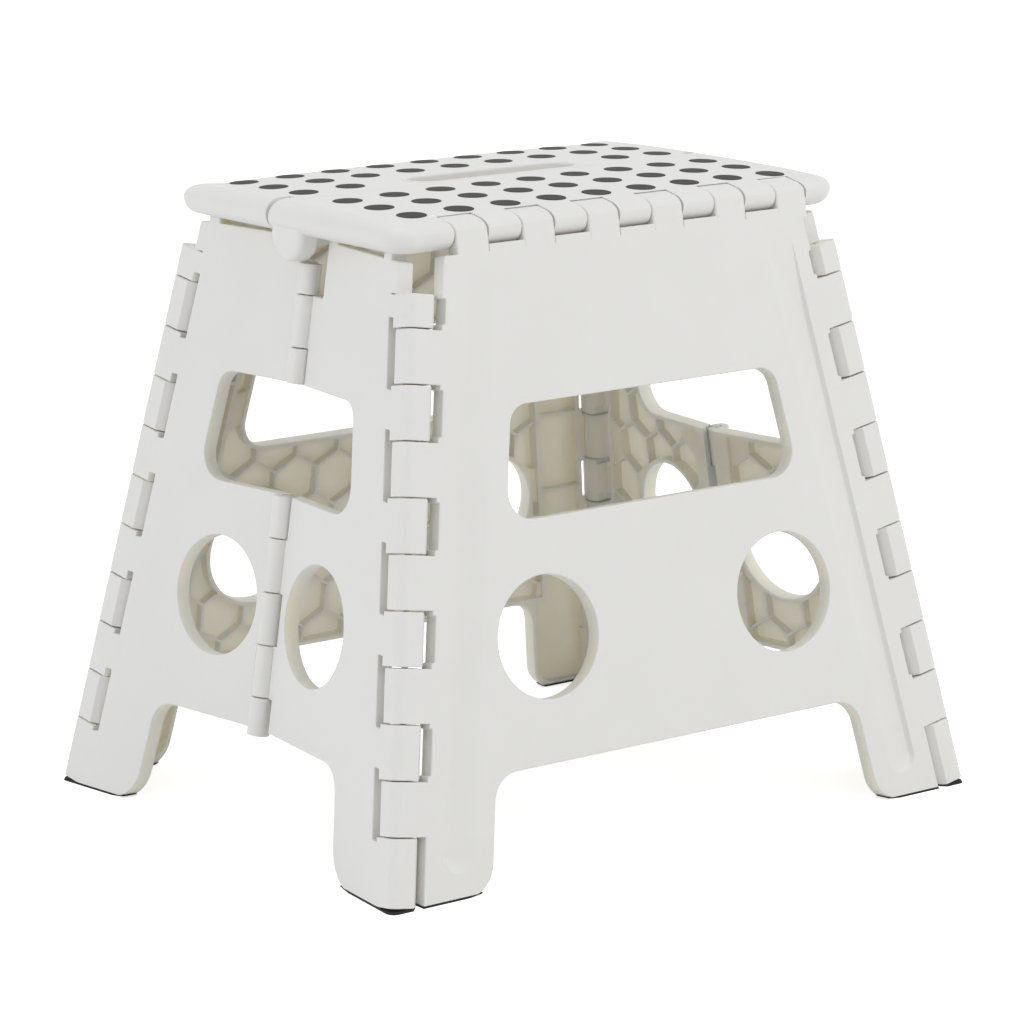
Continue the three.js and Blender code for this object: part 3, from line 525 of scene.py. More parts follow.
# %% Leaf
class Leaf:
    def __init__(self, plane, inward, outward):
        self.plane = plane
        self.inward = inward
        self.outward = outward
        self.local = plane.inverted()
        self.corner = self.local @ basis(corner_foot, inward, outward)
        self.upwards = 1 if inward.cross(outward).dot(corner_run) > 0 else -1

    def from_hinge(self, back, height, r=0.0):
        level = height - back * self.inward.z - HINGE_DEPTH * self.outward.z
        spot = self.local @ (corner_foot + corner_run * (level / corner_run.z) + self.inward * back)
        return (spot.x, spot.y, r)

    def from_middle(self, distance, height, r=0.0):
        across, slope = self.plane.col[0], self.plane.col[1]
        return (distance, (height - distance * across.z) / slope.z, r)

    def below(self, height):
        return block((-FAR, FAR), (-FAR, FAR), (height - FAR, height), self.local)


panel_leaf = Leaf(panel_plane, corner_run.cross(panel_out), panel_out)
end_leaf = Leaf(end_plane, end_out.cross(corner_run), end_out)


def both_sides(side):
    right = [(abs(x), y, r) for x, y, r in side]
    return right + [(-x, y, r) for x, y, r in right[::-1]]


# %% [markdown]
# ## Corner knuckles
#
# Panel and end leaf share each corner hinge: eleven knuckles take turns up its length. Seen from
# the end a knuckle is round inside and squared outside, so the corner of the closed stool
# looks like one rounded post. Beside each knuckle the other leaf has a narrow slot or notch, so
# that nothing rubs as the corner turns.

# %% Knuckles
KNUCKLE_PITCH = 31.8
KNUCKLE_FOOT = 40.0
KNUCKLE_TOP = 346.0
KNUCKLE_COUNT = 5
KNUCKLE_NECK = 16.0
KNUCKLE_TUCK = 4.5
CORNER_CURVE = 5.0
KNUCKLE_RIM = 0.8
BORE = 2.5
LEAF_INSIDE = HINGE_DEPTH - SHELL


def along_corner(height):
    return height / corner_run.z


def knuckle_section():
    other_out = Vector((-math.sin(corner_angle), -math.cos(corner_angle)))
    other_in = Vector((math.cos(corner_angle), -math.sin(corner_angle)))
    corner_p = HINGE_DEPTH * (1 - other_out.y) / other_out.x
    tuck = other_out * HINGE_DEPTH + other_in * KNUCKLE_TUCK
    outer = rounded([
        (KNUCKLE_NECK, HINGE_DEPTH, 0), (corner_p, HINGE_DEPTH, CORNER_CURVE), (tuck.x, tuck.y, 0),
    ])
    start = math.atan2(tuck.y, tuck.x) + math.atan2(KNUCKLE_TUCK, HINGE_DEPTH)
    inner = arc(HINGE_DEPTH, start, math.asin(LEAF_INSIDE / HINGE_DEPTH), ROUND_STEPS // 2)
    return outer + inner + [Vector((KNUCKLE_NECK, LEAF_INSIDE))]


def boundary(i):
    return KNUCKLE_FOOT + i * KNUCKLE_PITCH


panel_spans = [(boundary(2 * i), boundary(2 * i + 1)) for i in range(KNUCKLE_COUNT)]
end_spans = [(0, boundary(0))]
for i in range(KNUCKLE_COUNT):
    end_spans.append((boundary(2 * i + 1), KNUCKLE_TOP if i == KNUCKLE_COUNT - 1 else boundary(2 * i + 2)))
print("corner knuckles:", len(panel_spans), "on a panel,", len(end_spans), "on an end leaf")


def knuckles_along(axis, section, spans, rim):
    return gathered([plate(section, low, high, rim, rim, axis) for low, high in spans])


def bore_along(axis, low=-FAR, high=FAR):
    return prism(ring(0, 0, BORE), low, high, axis)


def corner_knuckles(leaf, spans):
    ends = [sorted((leaf.upwards * (along_corner(low) + RUNNING_GAP),
                    leaf.upwards * (along_corner(high) - RUNNING_GAP))) for low, high in spans]
    knuckles = knuckles_along(leaf.corner, knuckle_section(), ends, KNUCKLE_RIM)
    return cut(knuckles, bore_along(leaf.corner))


# %% Slots beside the knuckles
PLATE_SLOT = 13.8
KNUCKLE_SLOT = 8.5
SLOT_END_GAP = 2.5
NOTCH_ABOVE = 6.0
NOTCH_BELOW = 3.0
SLOT_CORNER = 1.0


def knuckle_slots(leaf, spans, near, below, above):
    slots = []
    for low, high in spans:
        start, end = low - below, high + above
        corners = [
            leaf.from_hinge(PLATE_SLOT, start, SLOT_CORNER), leaf.from_hinge(near, start),
            leaf.from_hinge(near, end), leaf.from_hinge(PLATE_SLOT, end, SLOT_CORNER),
        ]
        slots.append(cutter(counterclockwise(rounded(corners)), -SHELL, 0, KNUCKLE_RIM, SHELL))
    return gathered(slots)


# %% [markdown]
# ## Honeycomb ribs
#
# Behind each face a honeycomb of thin ribs makes the plate stiff. The cells are what repeats, so
# Geometry Nodes lays them out: a grid of points, every other row moved by half a pitch, with one
# six-sided cell on each. The sizes are inputs of the tree. The cells are then cut from the plate, and
# what stays between them is the ribs. The helpers come first: they make the tree's inputs, its grid
# and its last nodes, and the grip discs use them again.

# %% Helpers for Geometry Nodes
def new_tree(name, sizes):
    tree = bpy.data.node_groups.new(name, "GeometryNodeTree")
    tree.interface.new_socket("Geometry", in_out="INPUT", socket_type="NodeSocketGeometry")
    for label, value in sizes.items():
        kind = "NodeSocketInt" if isinstance(value, int) else "NodeSocketFloat"
        tree.interface.new_socket(label, in_out="INPUT", socket_type=kind).default_value = value
    tree.interface.new_socket("Geometry", in_out="OUTPUT", socket_type="NodeSocketGeometry")
    return tree, add(tree, "NodeGroupInput").outputs


def maths(tree, operation, *values):
    return add(tree, "ShaderNodeMath", dict(enumerate(values)), operation=operation).outputs[0]


def grid(tree, rows, columns):
    points = add(tree, "GeometryNodePoints", {"Count": maths(tree, "MULTIPLY", rows, columns)})
    index = add(tree, "GeometryNodeInputIndex").outputs[0]
    row = maths(tree, "FLOOR", maths(tree, "DIVIDE", index, columns))
    return points.outputs[0], row, maths(tree, "MODULO", index, columns)


def spread_out(tree, points, x, y, z=0.0):
    place = add(tree, "ShaderNodeCombineXYZ", {"X": x, "Y": y, "Z": z}).outputs[0]
    return add(tree, "GeometryNodeSetPosition", {"Geometry": points, "Position": place}).outputs[0]


def drum(tree, sides, low_radius, high_radius, depth):
    return add(tree, "GeometryNodeMeshCone", {
        "Vertices": sides, "Radius Top": high_radius, "Radius Bottom": low_radius, "Depth": depth,
    }).outputs["Mesh"]


def placed_at(tree, thing, **move):
    return add(tree, "GeometryNodeTransform", {"Geometry": thing, **move}).outputs[0]


def finish_tree(tree, points, thing, paint):
    copies = add(tree, "GeometryNodeInstanceOnPoints", {"Points": points, "Instance": thing})
    real = add(tree, "GeometryNodeRealizeInstances", {0: copies.outputs[0]})
    painted = add(tree, "GeometryNodeSetMaterial", {"Geometry": real.outputs[0], "Material": paint})
    add(tree, "NodeGroupOutput", {0: painted.outputs[0]})
    return tree


def grown(name, tree, sizes):
    holder = in_scene(name, bpy.data.meshes.new(name))
    step = holder.modifiers.new(tree.name, "NODES")
    step.node_group = tree
    socket_of = {item.name: item.identifier for item in tree.interface.items_tree if item.in_out == "INPUT"}
    for label, value in sizes.items():
        step[socket_of[label]] = value
    mesh = settled(holder)
    bpy.data.objects.remove(holder)
    return mesh


# %% Honeycomb cells
WELD = 0.001
ROW_SHARE = math.sqrt(3) / 2


def honeycomb_tree(paint):
    tree, given = new_tree("honeycomb", {
        "Pitch": CELL_PITCH, "Rib": RIB, "Depth": SHELL, "Rows": 1, "Columns": 1,
    })
    points, row, column = grid(tree, given["Rows"], given["Columns"])
    odd = maths(tree, "MODULO", row, 2.0)
    shifted = maths(tree, "MULTIPLY_ADD", odd, 0.5, column)
    x = maths(tree, "MULTIPLY", shifted, given["Pitch"])
    y = maths(tree, "MULTIPLY", row, maths(tree, "MULTIPLY", given["Pitch"], ROW_SHARE))
    across = maths(tree, "SUBTRACT", given["Pitch"], given["Rib"])
    radius = maths(tree, "DIVIDE", across, math.sqrt(3))
    cell = drum(tree, 6, radius, radius, given["Depth"])
    cell = placed_at(tree, cell, Rotation=(0, 0, math.pi / 6))
    return finish_tree(tree, spread_out(tree, points, x, y), cell, paint)


honeycomb = honeycomb_tree(painted_bounce_plastic)
print("honeycomb:", len(honeycomb.nodes), "nodes")


def honeycomb_cells(low, high, left, right, bottom, top):
    half = math.ceil(max(-left, right) / CELL_PITCH) + 1
    mesh = grown("cells", honeycomb, {
        "Depth": high - low,
        "Rows": math.ceil((top - bottom) / (CELL_PITCH * ROW_SHARE)) + 1,
        "Columns": 2 * half + 1,
    })
    mesh.transform(Matrix.Translation((-half * CELL_PITCH, bottom, low)))
    work = opened(mesh)
    bmesh.ops.remove_doubles(work, verts=work.verts, dist=WELD)
    bmesh.ops.recalc_face_normals(work, faces=work.faces)
    mesh.materials.clear()
    return stored(work, mesh)


# %% [markdown]
# ## One ribbed plate
#
# A plate is its outline with rounded rims, less the openings, less a shallow well that lets the ribs
# stop short of the rim, less the cells. A flange stays round every opening. Cells that the flange
# leaves as slivers are dropped, as a mould maker drops them.

# %% Ribbed plate
SMALLEST_CELL = 0.3


def volume_of(faces):
    total = 0.0
    for face in faces:
        a = face.verts[0].co
        for b, c in zip(face.verts[1:], face.verts[2:]):
            total += a.dot(b.co.cross(c.co)) / 6
    return abs(total)


def without_slivers(mesh, smallest):
    work = opened(mesh)
    seen, doomed = set(), []
    for start in work.faces:
        if start in seen:
            continue
        island, queue = [], [start]
        seen.add(start)
        while queue:
            face = queue.pop()
            island.append(face)
            for edge in face.edges:
                for other in edge.link_faces:
                    if other not in seen:
                        seen.add(other)
                        queue.append(other)
        if volume_of(island) < smallest:
            doomed += island
    bmesh.ops.delete(work, geom=doomed, context="FACES")
    return stored(work, mesh)


def span(outline):
    xs, ys = [p.x for p in outline], [p.y for p in outline]
    return min(xs), max(xs), min(ys), max(ys)


def ribbed_plate(corners, ribbed, windows, holes):
    openings = [rounded(window) for window in windows]
    openings += [ring(x, y, HOLE_RADIUS, HOLE_STEPS) for x, y in holes]
    body = plate(rounded(corners), -SHELL, 0, INNER_RIM, RIM)
    region = inset(rounded(ribbed), FLANGE)
    rest = RIB_DROP - SHELL
    walls = [prism(inset(opening, -FLANGE), -2 * SHELL, SHELL) for opening in openings]
    well = cut(prism(region, -SHELL - OVERRUN, rest), *walls)
    left, right, bottom, top = span(region)
    cells = honeycomb_cells(rest - OVERRUN, -SKIN, left, right, bottom, top)
    cells = cut(mixed(cells, prism(region, -2 * SHELL, SHELL), "INTERSECT"), *walls)
    full = ROW_SHARE * CELL_PITCH ** 2 * (-SKIN - rest + OVERRUN)
    cells = without_slivers(cells, SMALLEST_CELL * full)
    body = cut(body, gathered([cutter(opening, -SHELL, 0) for opening in openings]))
    return cut(body, well, cells)


# %% [markdown]
# ## Legs
#
# Panels and end leaves share the same leg: straight sides that follow the corner hinge, a rounded
# arch above and a rounded inner corner at the foot.

# %% Leg outline
HOLE_RADIUS = 37.0
HOLE_HEIGHT = 140.5
WINDOW_TOP = 277.0
WINDOW_BOTTOM = 210.0
WINDOW_TOP_RADIUS = 13.0
WINDOW_BOTTOM_RADIUS = 17.0
ARCH_HEIGHT = 66.5
ARCH_RADIUS = 18.0
LEG_WIDTH = 61.0
PLATE_CORNER = 2.0


def leg_corners(leaf, foot_radius):
    return [
        leaf.from_hinge(LEG_WIDTH, ARCH_HEIGHT, ARCH_RADIUS),
        leaf.from_hinge(LEG_WIDTH, 0, foot_radius),
        leaf.from_hinge(SET_BACK, 0),
    ]


def leg_hollow(leaf, foot_radius, wall):
    near, far, foot = KNUCKLE_NECK + FLANGE, LEG_WIDTH - FLANGE, PAD_SHOWN + FLANGE
    corners = [
        leaf.from_hinge(far, ARCH_HEIGHT), leaf.from_hinge(far, foot, foot_radius - FLANGE),
        leaf.from_hinge(near, foot), leaf.from_hinge(near, ARCH_HEIGHT),
    ]
    return prism(counterclockwise(rounded(corners)), -SHELL - OVERRUN, -wall)


# %% [markdown]
# ## Long panel
#
# The panel has a window, two round holes and, down each side, a long shallow channel with round
# ends that is deep beside the hinge and fades out towards its top. A loft makes it: the outline
# grows and slides back as it rises, which a plain bevel can't do. Behind the channel the plate keeps
# more plastic, and a strip of plain cells takes the place of the honeycomb.

# %% Channel and side strips
FLUTE_START = 25.0
FLUTE_WIDTH = 23.0
FLUTE_DEPTH = 3.0
FLUTE_TOP = 362.0
FLUTE_BOTTOM = 14.0
FLUTE_FLOOR_SHARE = 0.08
FLUTE_ASIDE_SHARE = 0.8
FLUTE_POWER = 1.3
FLUTE_FLOOR_LENGTH_SHARE = 0.84
FLUTE_BACKING = 5.5
FLUTE_STEPS = 9
STRIP_CELLS = 6
STRIP_EDGE = FLUTE_START + FLUTE_WIDTH


def flute():
    half = FLUTE_WIDTH / 2
    foot = Vector(panel_leaf.from_hinge(FLUTE_START + half, FLUTE_BOTTOM + half)[:2])
    tip = Vector(panel_leaf.from_hinge(FLUTE_START + half, FLUTE_TOP - half)[:2])
    run = tip - foot
    lean = Matrix.Rotation(math.atan2(run.y, run.x) - math.pi / 2, 2)
    outlines, levels = [], []
    for step in range(FLUTE_STEPS + 1):
        share = FLUTE_FLOOR_SHARE + (1 - FLUTE_FLOOR_SHARE) * step / FLUTE_STEPS
        length = run.length * (FLUTE_FLOOR_LENGTH_SHARE + (1 - FLUTE_FLOOR_LENGTH_SHARE) * share)
        aside = Vector((math.copysign(FLUTE_ASIDE_SHARE, foot.x) * half * (1 - share), 0))
        shape = [p + aside for p in arc(half * share, math.pi, 2 * math.pi, ROUND_STEPS)]
        shape += [p + aside + Vector((0, length)) for p in arc(half * share, 0, math.pi, ROUND_STEPS)]
        outlines.append([lean @ p + foot for p in shape])
        levels.append(-FLUTE_DEPTH * (1 - share ** FLUTE_POWER))
    outlines.append(outlines[-1])
    levels.append(OVERRUN)
    return loft(outlines, levels)


def side_strip(top):
    low = boundary(0)
    pitch = (top - FLANGE - low) / STRIP_CELLS
    near, far, spot = PLATE_SLOT + FLANGE, STRIP_EDGE, panel_leaf.from_hinge
    parts = []
    for i in range(STRIP_CELLS):
        start, end = low + i * pitch, low + (i + 1) * pitch - RIB
        corners = [spot(near, start), spot(far, start), spot(far, end), spot(near, end)]
        parts.append(prism(counterclockwise(rounded(corners)), -SHELL - OVERRUN, -FLUTE_BACKING))
    return gathered(parts)


# %% [markdown]
# ## Tongues and lips
#
# The panel's top carries six tongues that curl round the seat's edge hinge. They share that edge
# with the seat's own knuckles, and low lips between them follow those knuckles, with a dark slit in
# between. A tongue is one section drawn out along the hinge, with its ends rounded over. A lip is a
# plain block that a cylinder hollows out.

# %% Tongues and lips
PANEL_TOP_DROP = 12.0
TONGUE_START_SHARE = 0.8723
TONGUE_WIDTH_SHARE = 0.16723
TONGUE_COUNT = 6
TONGUE_NECK = PANEL_TOP_DROP + PLATE_CORNER + FLANGE
TONGUE_RIM = 1.7
LIP_DROP = 10.0
LIP_GAP = 1.6

tongue_frame = panel_leaf.local @ basis(Vector((0, edge_y, edge_z)), -panel_slope, panel_out)


def tongue_edges(i):
    start = edge_reach * (2 * i * TONGUE_WIDTH_SHARE - TONGUE_START_SHARE)
    return start, start + edge_reach * TONGUE_WIDTH_SHARE


tongue_spans = [tongue_edges(i) for i in range(TONGUE_COUNT)]


def edge_tongues():
    section = [Vector((TONGUE_NECK, HINGE_DEPTH))] + arc(
        HINGE_DEPTH, math.pi / 2, 2 * math.pi + math.asin(LEAF_INSIDE / HINGE_DEPTH), ROUND_STEPS,
    ) + [Vector((TONGUE_NECK, LEAF_INSIDE))]
    spans = [(-high + RUNNING_GAP, -low - RUNNING_GAP) for low, high in tongue_spans]
    return cut(knuckles_along(tongue_frame, section, spans, TONGUE_RIM), bore_along(tongue_frame))


def edge_lips():
    foot = tongue_frame @ Vector((TONGUE_NECK, 0, 0))
    top = tongue_frame @ Vector((LIP_DROP, 0, 0))
    lips = []
    for before, after in zip(tongue_spans, tongue_spans[1:]):
        low, high = before[1] - 2 * RUNNING_GAP, after[0] + 2 * RUNNING_GAP
        lips.append(block((low, high), (foot.y, top.y), (-SHELL, 0)))
    hollow = prism(ring(0, 0, HINGE_DEPTH + LIP_GAP, 2 * ROUND_STEPS), -FAR, FAR, tongue_frame)
    return cut(gathered(lips), hollow)


# %% Long panel
PANEL_HOLE = 91.5
PANEL_POST = 63.0
PANEL_FOOT_RADIUS = 20.0


def panel_mesh():
    top = edge_z - PANEL_TOP_DROP
    corners = both_sides(leg_corners(panel_leaf, PANEL_FOOT_RADIUS)
                         + [panel_leaf.from_hinge(SET_BACK, top, PLATE_CORNER)])
    ribbed = both_sides([panel_leaf.from_hinge(STRIP_EDGE, level) for level in (ARCH_HEIGHT, top)])
    window = both_sides([
        panel_leaf.from_hinge(PANEL_POST, WINDOW_BOTTOM, WINDOW_BOTTOM_RADIUS),
        panel_leaf.from_hinge(PANEL_POST, WINDOW_TOP, WINDOW_TOP_RADIUS),
    ])
    level = panel_leaf.from_middle(PANEL_HOLE, HOLE_HEIGHT)[1]
    whole = ribbed_plate(corners, ribbed, [window], [(-PANEL_HOLE, level), (PANEL_HOLE, level)])
    knuckles = corner_knuckles(panel_leaf, panel_spans)
    whole = joined(whole, edge_lips(), knuckles, mirrored(knuckles), edge_tongues())
    slots = knuckle_slots(panel_leaf, end_spans[1:], SET_BACK - OVERRUN, -SLOT_END_GAP, -SLOT_END_GAP)
    for tool in (side_strip(top), flute(), leg_hollow(panel_leaf, PANEL_FOOT_RADIUS, FLUTE_BACKING), slots):
        whole = cut(whole, tool, mirrored(tool))
    return cut(whole, panel_leaf.below(PAD_SHOWN))


panel_shape = panel_mesh()
print("panel:", len(panel_shape.polygons), "faces")

# %% [markdown]
# ## End leaves
#
# Each end has two leaves with a hinge up the middle. One leaf has closed barrels, the other
# open hooks that snap round the same rod. A shared window breaks the hinge in two. Each leaf has
# rooms for the other's knuckles. They widen towards the foot, because the leaves of this model drift
# apart there by some millimetres as the stool folds, where the rods of the real one hold them.

# %% Centre hinge
BARREL = 7.0
BARREL_PROUD = 0.6
BARREL_GAP = 1.0
BARREL_WALL = 1.6
LEAF_EDGE = 3.0
TOP_CUT = 19.0
HOOK = 6.7
HOOK_FROM = math.radians(-45)
HOOK_TO = math.radians(165)
DRIFT_TURN = math.radians(-30)
DRIFT = 4.4
DRIFT_TOP = 200.0
UPPER = [350.0, 331.0, 299.0, 277.0]
LOWER = [210.0, 184.0, 151.0, 119.0, 87.0, 63.0]
BARREL_RIM = 0.5

centre_normal = Vector((-math.cos(END_LEAN), 0, math.sin(END_LEAN)))
centre_origin = end_origin + centre_normal * (BARREL_PROUD / centre_normal.dot(end_out))
centre_frame = end_leaf.local @ basis(centre_origin, end_across, end_out)


def down_centre(height):
    return (centre_origin.z - height) / end_slope.z


def spans_of(heights):
    return list(zip(heights, heights[1:]))


barrel_spans = spans_of(UPPER)[::2] + spans_of(LOWER)[::2]
hook_spans = spans_of(UPPER)[1::2] + spans_of(LOWER)[1::2]
print("centre hinge:", len(barrel_spans), "barrels,", len(hook_spans), "hooks")


def knuckle_room(bottom):
    share = min(max((DRIFT_TOP - bottom) / (DRIFT_TOP - LOWER[-1]), 0), 1)
    drift = Vector((math.cos(DRIFT_TURN), math.sin(DRIFT_TURN))) * DRIFT * share
    room = BARREL + BARREL_GAP
    start = DRIFT_TURN - math.pi / 2
    return ([p + drift for p in arc(room, start, start + math.pi, ROUND_STEPS // 2)]
            + arc(room, start + math.pi, start + 2 * math.pi, ROUND_STEPS // 2))


hook_section = (arc(HOOK, HOOK_FROM, HOOK_TO, ROUND_STEPS)
                + arc(BARREL - BARREL_WALL, HOOK_FROM, HOOK_TO, ROUND_STEPS)[::-1])

# %% End leaf
END_HOLE = 53.0
END_POST = 53.0
END_FOOT_RADIUS = 26.0
END_TOP = 364.6
END_TOP_BACK = 4.0
END_RIB_START = 13.0
TABS = (20.0, 88.0)
TAB_WIDTH = 9.0
TAB_CORNER = 1.0
SEAT_THICKNESS = 21.0
SEAT_UNDERSIDE = STOOL_HEIGHT - SEAT_THICKNESS


def end_mesh(hooked):
    notch = UPPER[1] if hooked else UPPER[0]
    middle, hinge = end_leaf.from_middle, end_leaf.from_hinge
    corners = [
        middle(LEAF_EDGE, ARCH_HEIGHT, PLATE_CORNER),
        *leg_corners(end_leaf, END_FOOT_RADIUS),
        hinge(SET_BACK, KNUCKLE_TOP), hinge(END_TOP_BACK, KNUCKLE_TOP),
        hinge(END_TOP_BACK, END_TOP, PLATE_CORNER),
        middle(TOP_CUT, END_TOP, PLATE_CORNER), middle(TOP_CUT, notch, PLATE_CORNER),
        middle(LEAF_EDGE, notch, PLATE_CORNER),
    ]
    ribbed = [middle(END_RIB_START, ARCH_HEIGHT), hinge(PLATE_SLOT, ARCH_HEIGHT),
              hinge(PLATE_SLOT, KNUCKLE_TOP), middle(END_RIB_START, KNUCKLE_TOP)]
    window = [middle(-END_POST, WINDOW_BOTTOM), hinge(END_POST, WINDOW_BOTTOM, WINDOW_BOTTOM_RADIUS),
              hinge(END_POST, WINDOW_TOP, WINDOW_TOP_RADIUS), middle(-END_POST, WINDOW_TOP)]
    body = ribbed_plate(corners, ribbed, [window], [middle(END_HOLE, HOLE_HEIGHT)[:2]])
    tabs = gathered([plate(rounded([
        middle(start, END_TOP - FLANGE), middle(start + TAB_WIDTH, END_TOP - FLANGE),
        middle(start + TAB_WIDTH, SEAT_UNDERSIDE - SEATED_GAP, TAB_CORNER),
        middle(start, SEAT_UNDERSIDE - SEATED_GAP, TAB_CORNER),
    ]), -SHELL, 0) for start in TABS])
    body = joined(body, corner_knuckles(end_leaf, end_spans), tabs)
    own, other = (hook_spans, barrel_spans) if hooked else (barrel_spans, hook_spans)
    rooms = gathered([prism(knuckle_room(bottom), down_centre(top), down_centre(bottom), centre_frame)
                      for top, bottom in other])
    slots = knuckle_slots(end_leaf, panel_spans, KNUCKLE_SLOT, NOTCH_BELOW, NOTCH_ABOVE)
    body = cut(body, end_leaf.below(PAD_SHOWN), leg_hollow(end_leaf, END_FOOT_RADIUS, SKIN),
               slots, rooms)
    section = hook_section if hooked else ring(0, 0, BARREL, 2 * ROUND_STEPS)
    hollow = BARREL - BARREL_WALL if hooked else BORE
    ends = [(down_centre(top) + RUNNING_GAP, down_centre(bottom) - RUNNING_GAP) for top, bottom in own]
    knuckles = knuckles_along(centre_frame, section, ends, BARREL_RIM)
    hollow_ring, past = ring(0, 0, hollow, 2 * ROUND_STEPS), 2 * RUNNING_GAP
    bores = gathered([prism(hollow_ring, low - past, high + past, centre_frame) for low, high in ends])
    return cut(joined(body, knuckles), bores)


hook_shape, barrel_shape = end_mesh(True), end_mesh(False)
print("end leaves:", len(hook_shape.polygons), len(barrel_shape.polygons), "faces")

# %% [markdown]
# ## Seat halves
#
# The board is a loft again: its half-round rim shrinks at every level. The near half keeps the
# big round lobes at the ends, which rise to the top beyond the seam, and the far half has the hand
# slot. Small knuckles share the rest of the centre hinge. Square pockets hollow the underside. They
# are few, so a plain loop of blocks is simpler than a tree.

# %% Board
SEAT_LENGTH = 340.0
SEAT_CORNER = 15.0
SEAT_RIM_STEPS = 12

seat_depth = HINGE_DEPTH - edge_y


def seat_board(seam_side, seam_round):
    outlines, levels = [], []
    for step in range(SEAT_RIM_STEPS + 1):
        angle = math.pi * (step / SEAT_RIM_STEPS - 0.5)
        inward = HINGE_DEPTH * (1 - math.cos(angle))
        level = edge_z + HINGE_DEPTH * math.sin(angle)
        past = max(level - (STOOL_HEIGHT - seam_round), 0)
        back = seam_round - math.sqrt(max(seam_round ** 2 - past ** 2, 0))
        x, y, r = SEAT_LENGTH / 2 - inward, seat_depth - inward, SEAT_CORNER - inward
        seam = seam_side - back
        outlines.append(rounded([(-x, seam, 0), (-x, -y, r), (x, -y, r), (x, seam, 0)]))
        levels.append(level)
    return loft(outlines, levels)


# %% Hand slot and pockets
SLOT_LENGTH = 124.0
SLOT_NEAR = 5.0
SLOT_WIDTH = 25.0
SLOT_LIP = 3.0
SLOT_RISE = 0.5
SLOT_ROUND = 1.6
SEAT_SKIN = 2.6
SEAT_RIB = 2.0
SEAT_CELL = 34.0
SEAT_CELL_ROWS = 3
POCKET_INSET = 37.0
SEAM_BAND = 14.0
TONGUE_REACH = HINGE_DEPTH + RUNNING_GAP


def slot_outline(margin):
    r = SLOT_WIDTH / 2 + margin
    reach, middle = SLOT_LENGTH / 2 - SLOT_WIDTH / 2, -SLOT_NEAR - SLOT_WIDTH / 2
    right = [p + Vector((reach, middle)) for p in arc(r, -math.pi / 2, math.pi / 2, ROUND_STEPS)]
    left = [p + Vector((-reach, middle)) for p in arc(r, math.pi / 2, 1.5 * math.pi, ROUND_STEPS)]
    return right + left


def seat_pockets(slotted):
    near_edge = edge_y + TONGUE_REACH + FLANGE
    reach = SEAT_LENGTH / 2 - POCKET_INSET
    columns = math.floor(2 * reach / SEAT_CELL)
    pitch_x = 2 * reach / columns
    pitch_y = (-SEAM_BAND - near_edge) / SEAT_CELL_ROWS
    wall = SEAT_RIB / 2
    cells = []
    for column in range(columns):
        for row in range(SEAT_CELL_ROWS):
            x, y = -reach + column * pitch_x, near_edge + row * pitch_y
            cells.append(block((x + wall, x + pitch_x - wall), (y + wall, y + pitch_y - wall),
                               (SEAT_UNDERSIDE - OVERRUN, STOOL_HEIGHT - SEAT_SKIN)))
    if not slotted:
        return gathered(cells)
    wall_round_slot = prism(slot_outline(SLOT_LIP), SEAT_UNDERSIDE - 2 * OVERRUN, STOOL_HEIGHT)
    return cut(gathered(cells), wall_round_slot)


# %% [markdown]
# ## The seat's own hinge
#
# The two halves meet at a centre hinge. Its line runs just below their undersides, so that these
# come face to face as the stool folds. Its knuckles are short drums along that line, and each half
# has rooms for the other's. The big lobes at the ends are larger drums with softer rims. Above them
# the near half reaches over the seam with a cap, which is the far half's board cut to the lobe's shape.

# %% Seat knuckles and lobes
SEAM_GAP = 0.4
SEAM_KNUCKLE = 8.5
SEAM_WIDTH = 24.0
SEAM_STARTS = (75.0, 100.0, 125.0)
LOBE = 16.3
LOBE_WIDTH = 15.0
LOBE_INSET = 2.5
LOBE_OVERLAP = 11.0
LOBE_RIM = 4.0
FOLDED_GAP = 0.6

centre_z = SEAT_UNDERSIDE - FOLDED_GAP
seam_frame = basis(Vector((0, 0, centre_z)), Vector((0, 1, 0)), Vector((0, 0, 1)))
lobe_span = (SEAT_LENGTH / 2 - LOBE_INSET - LOBE_WIDTH, SEAT_LENGTH / 2 - LOBE_INSET)


def both_ends(low, high):
    return [(low, high), (-high, -low)]


def across_seat(radius, spans, rim, grow):
    parts = []
    for low, high in spans:
        for start, end in both_ends(low - grow, high + grow):
            parts.append(plate(ring(0, 0, radius + grow, 2 * ROUND_STEPS), start, end, rim, rim, seam_frame))
    return parts


def lobe_caps(gap):
    radius = LOBE + gap
    corner = Vector((LOBE_OVERLAP + gap, STOOL_HEIGHT - centre_z))
    touch = math.atan2(corner.y, corner.x) - math.acos(radius / corner.length)
    high = OVERRUN + corner.y
    section = arc(radius, math.pi, 2 * math.pi + touch, 2 * ROUND_STEPS) + [
        corner, Vector((corner.x, high)), Vector((-radius, high)),
    ]
    return gathered([prism(section, start, end, seam_frame)
                     for start, end in both_ends(lobe_span[0] - gap, SEAT_LENGTH)])


def seam_parts(slotted, knuckle_rim, lobe_rim, grow):
    spans = [(start, start + SEAM_WIDTH) for start in SEAM_STARTS]
    if slotted:
        return across_seat(SEAM_KNUCKLE, [spans[0], spans[2]], knuckle_rim, grow)
    return (across_seat(SEAM_KNUCKLE, [spans[1]], knuckle_rim, grow)
            + across_seat(LOBE, [lobe_span], lobe_rim, grow))


# %% Seat half
SEAM_ROUND = 0.8
SEAM_ROD = (71.0, 160.0)
EDGE_ROD_END = 150.0

seat_edge_frame = basis(Vector((0, edge_y, edge_z)), Vector((0, 1, 0)), Vector((0, 0, 1)))


def tongue_rooms(section):
    return gathered([prism(section, low - RUNNING_GAP, high + RUNNING_GAP, seat_edge_frame)
                     for low, high in tongue_spans])


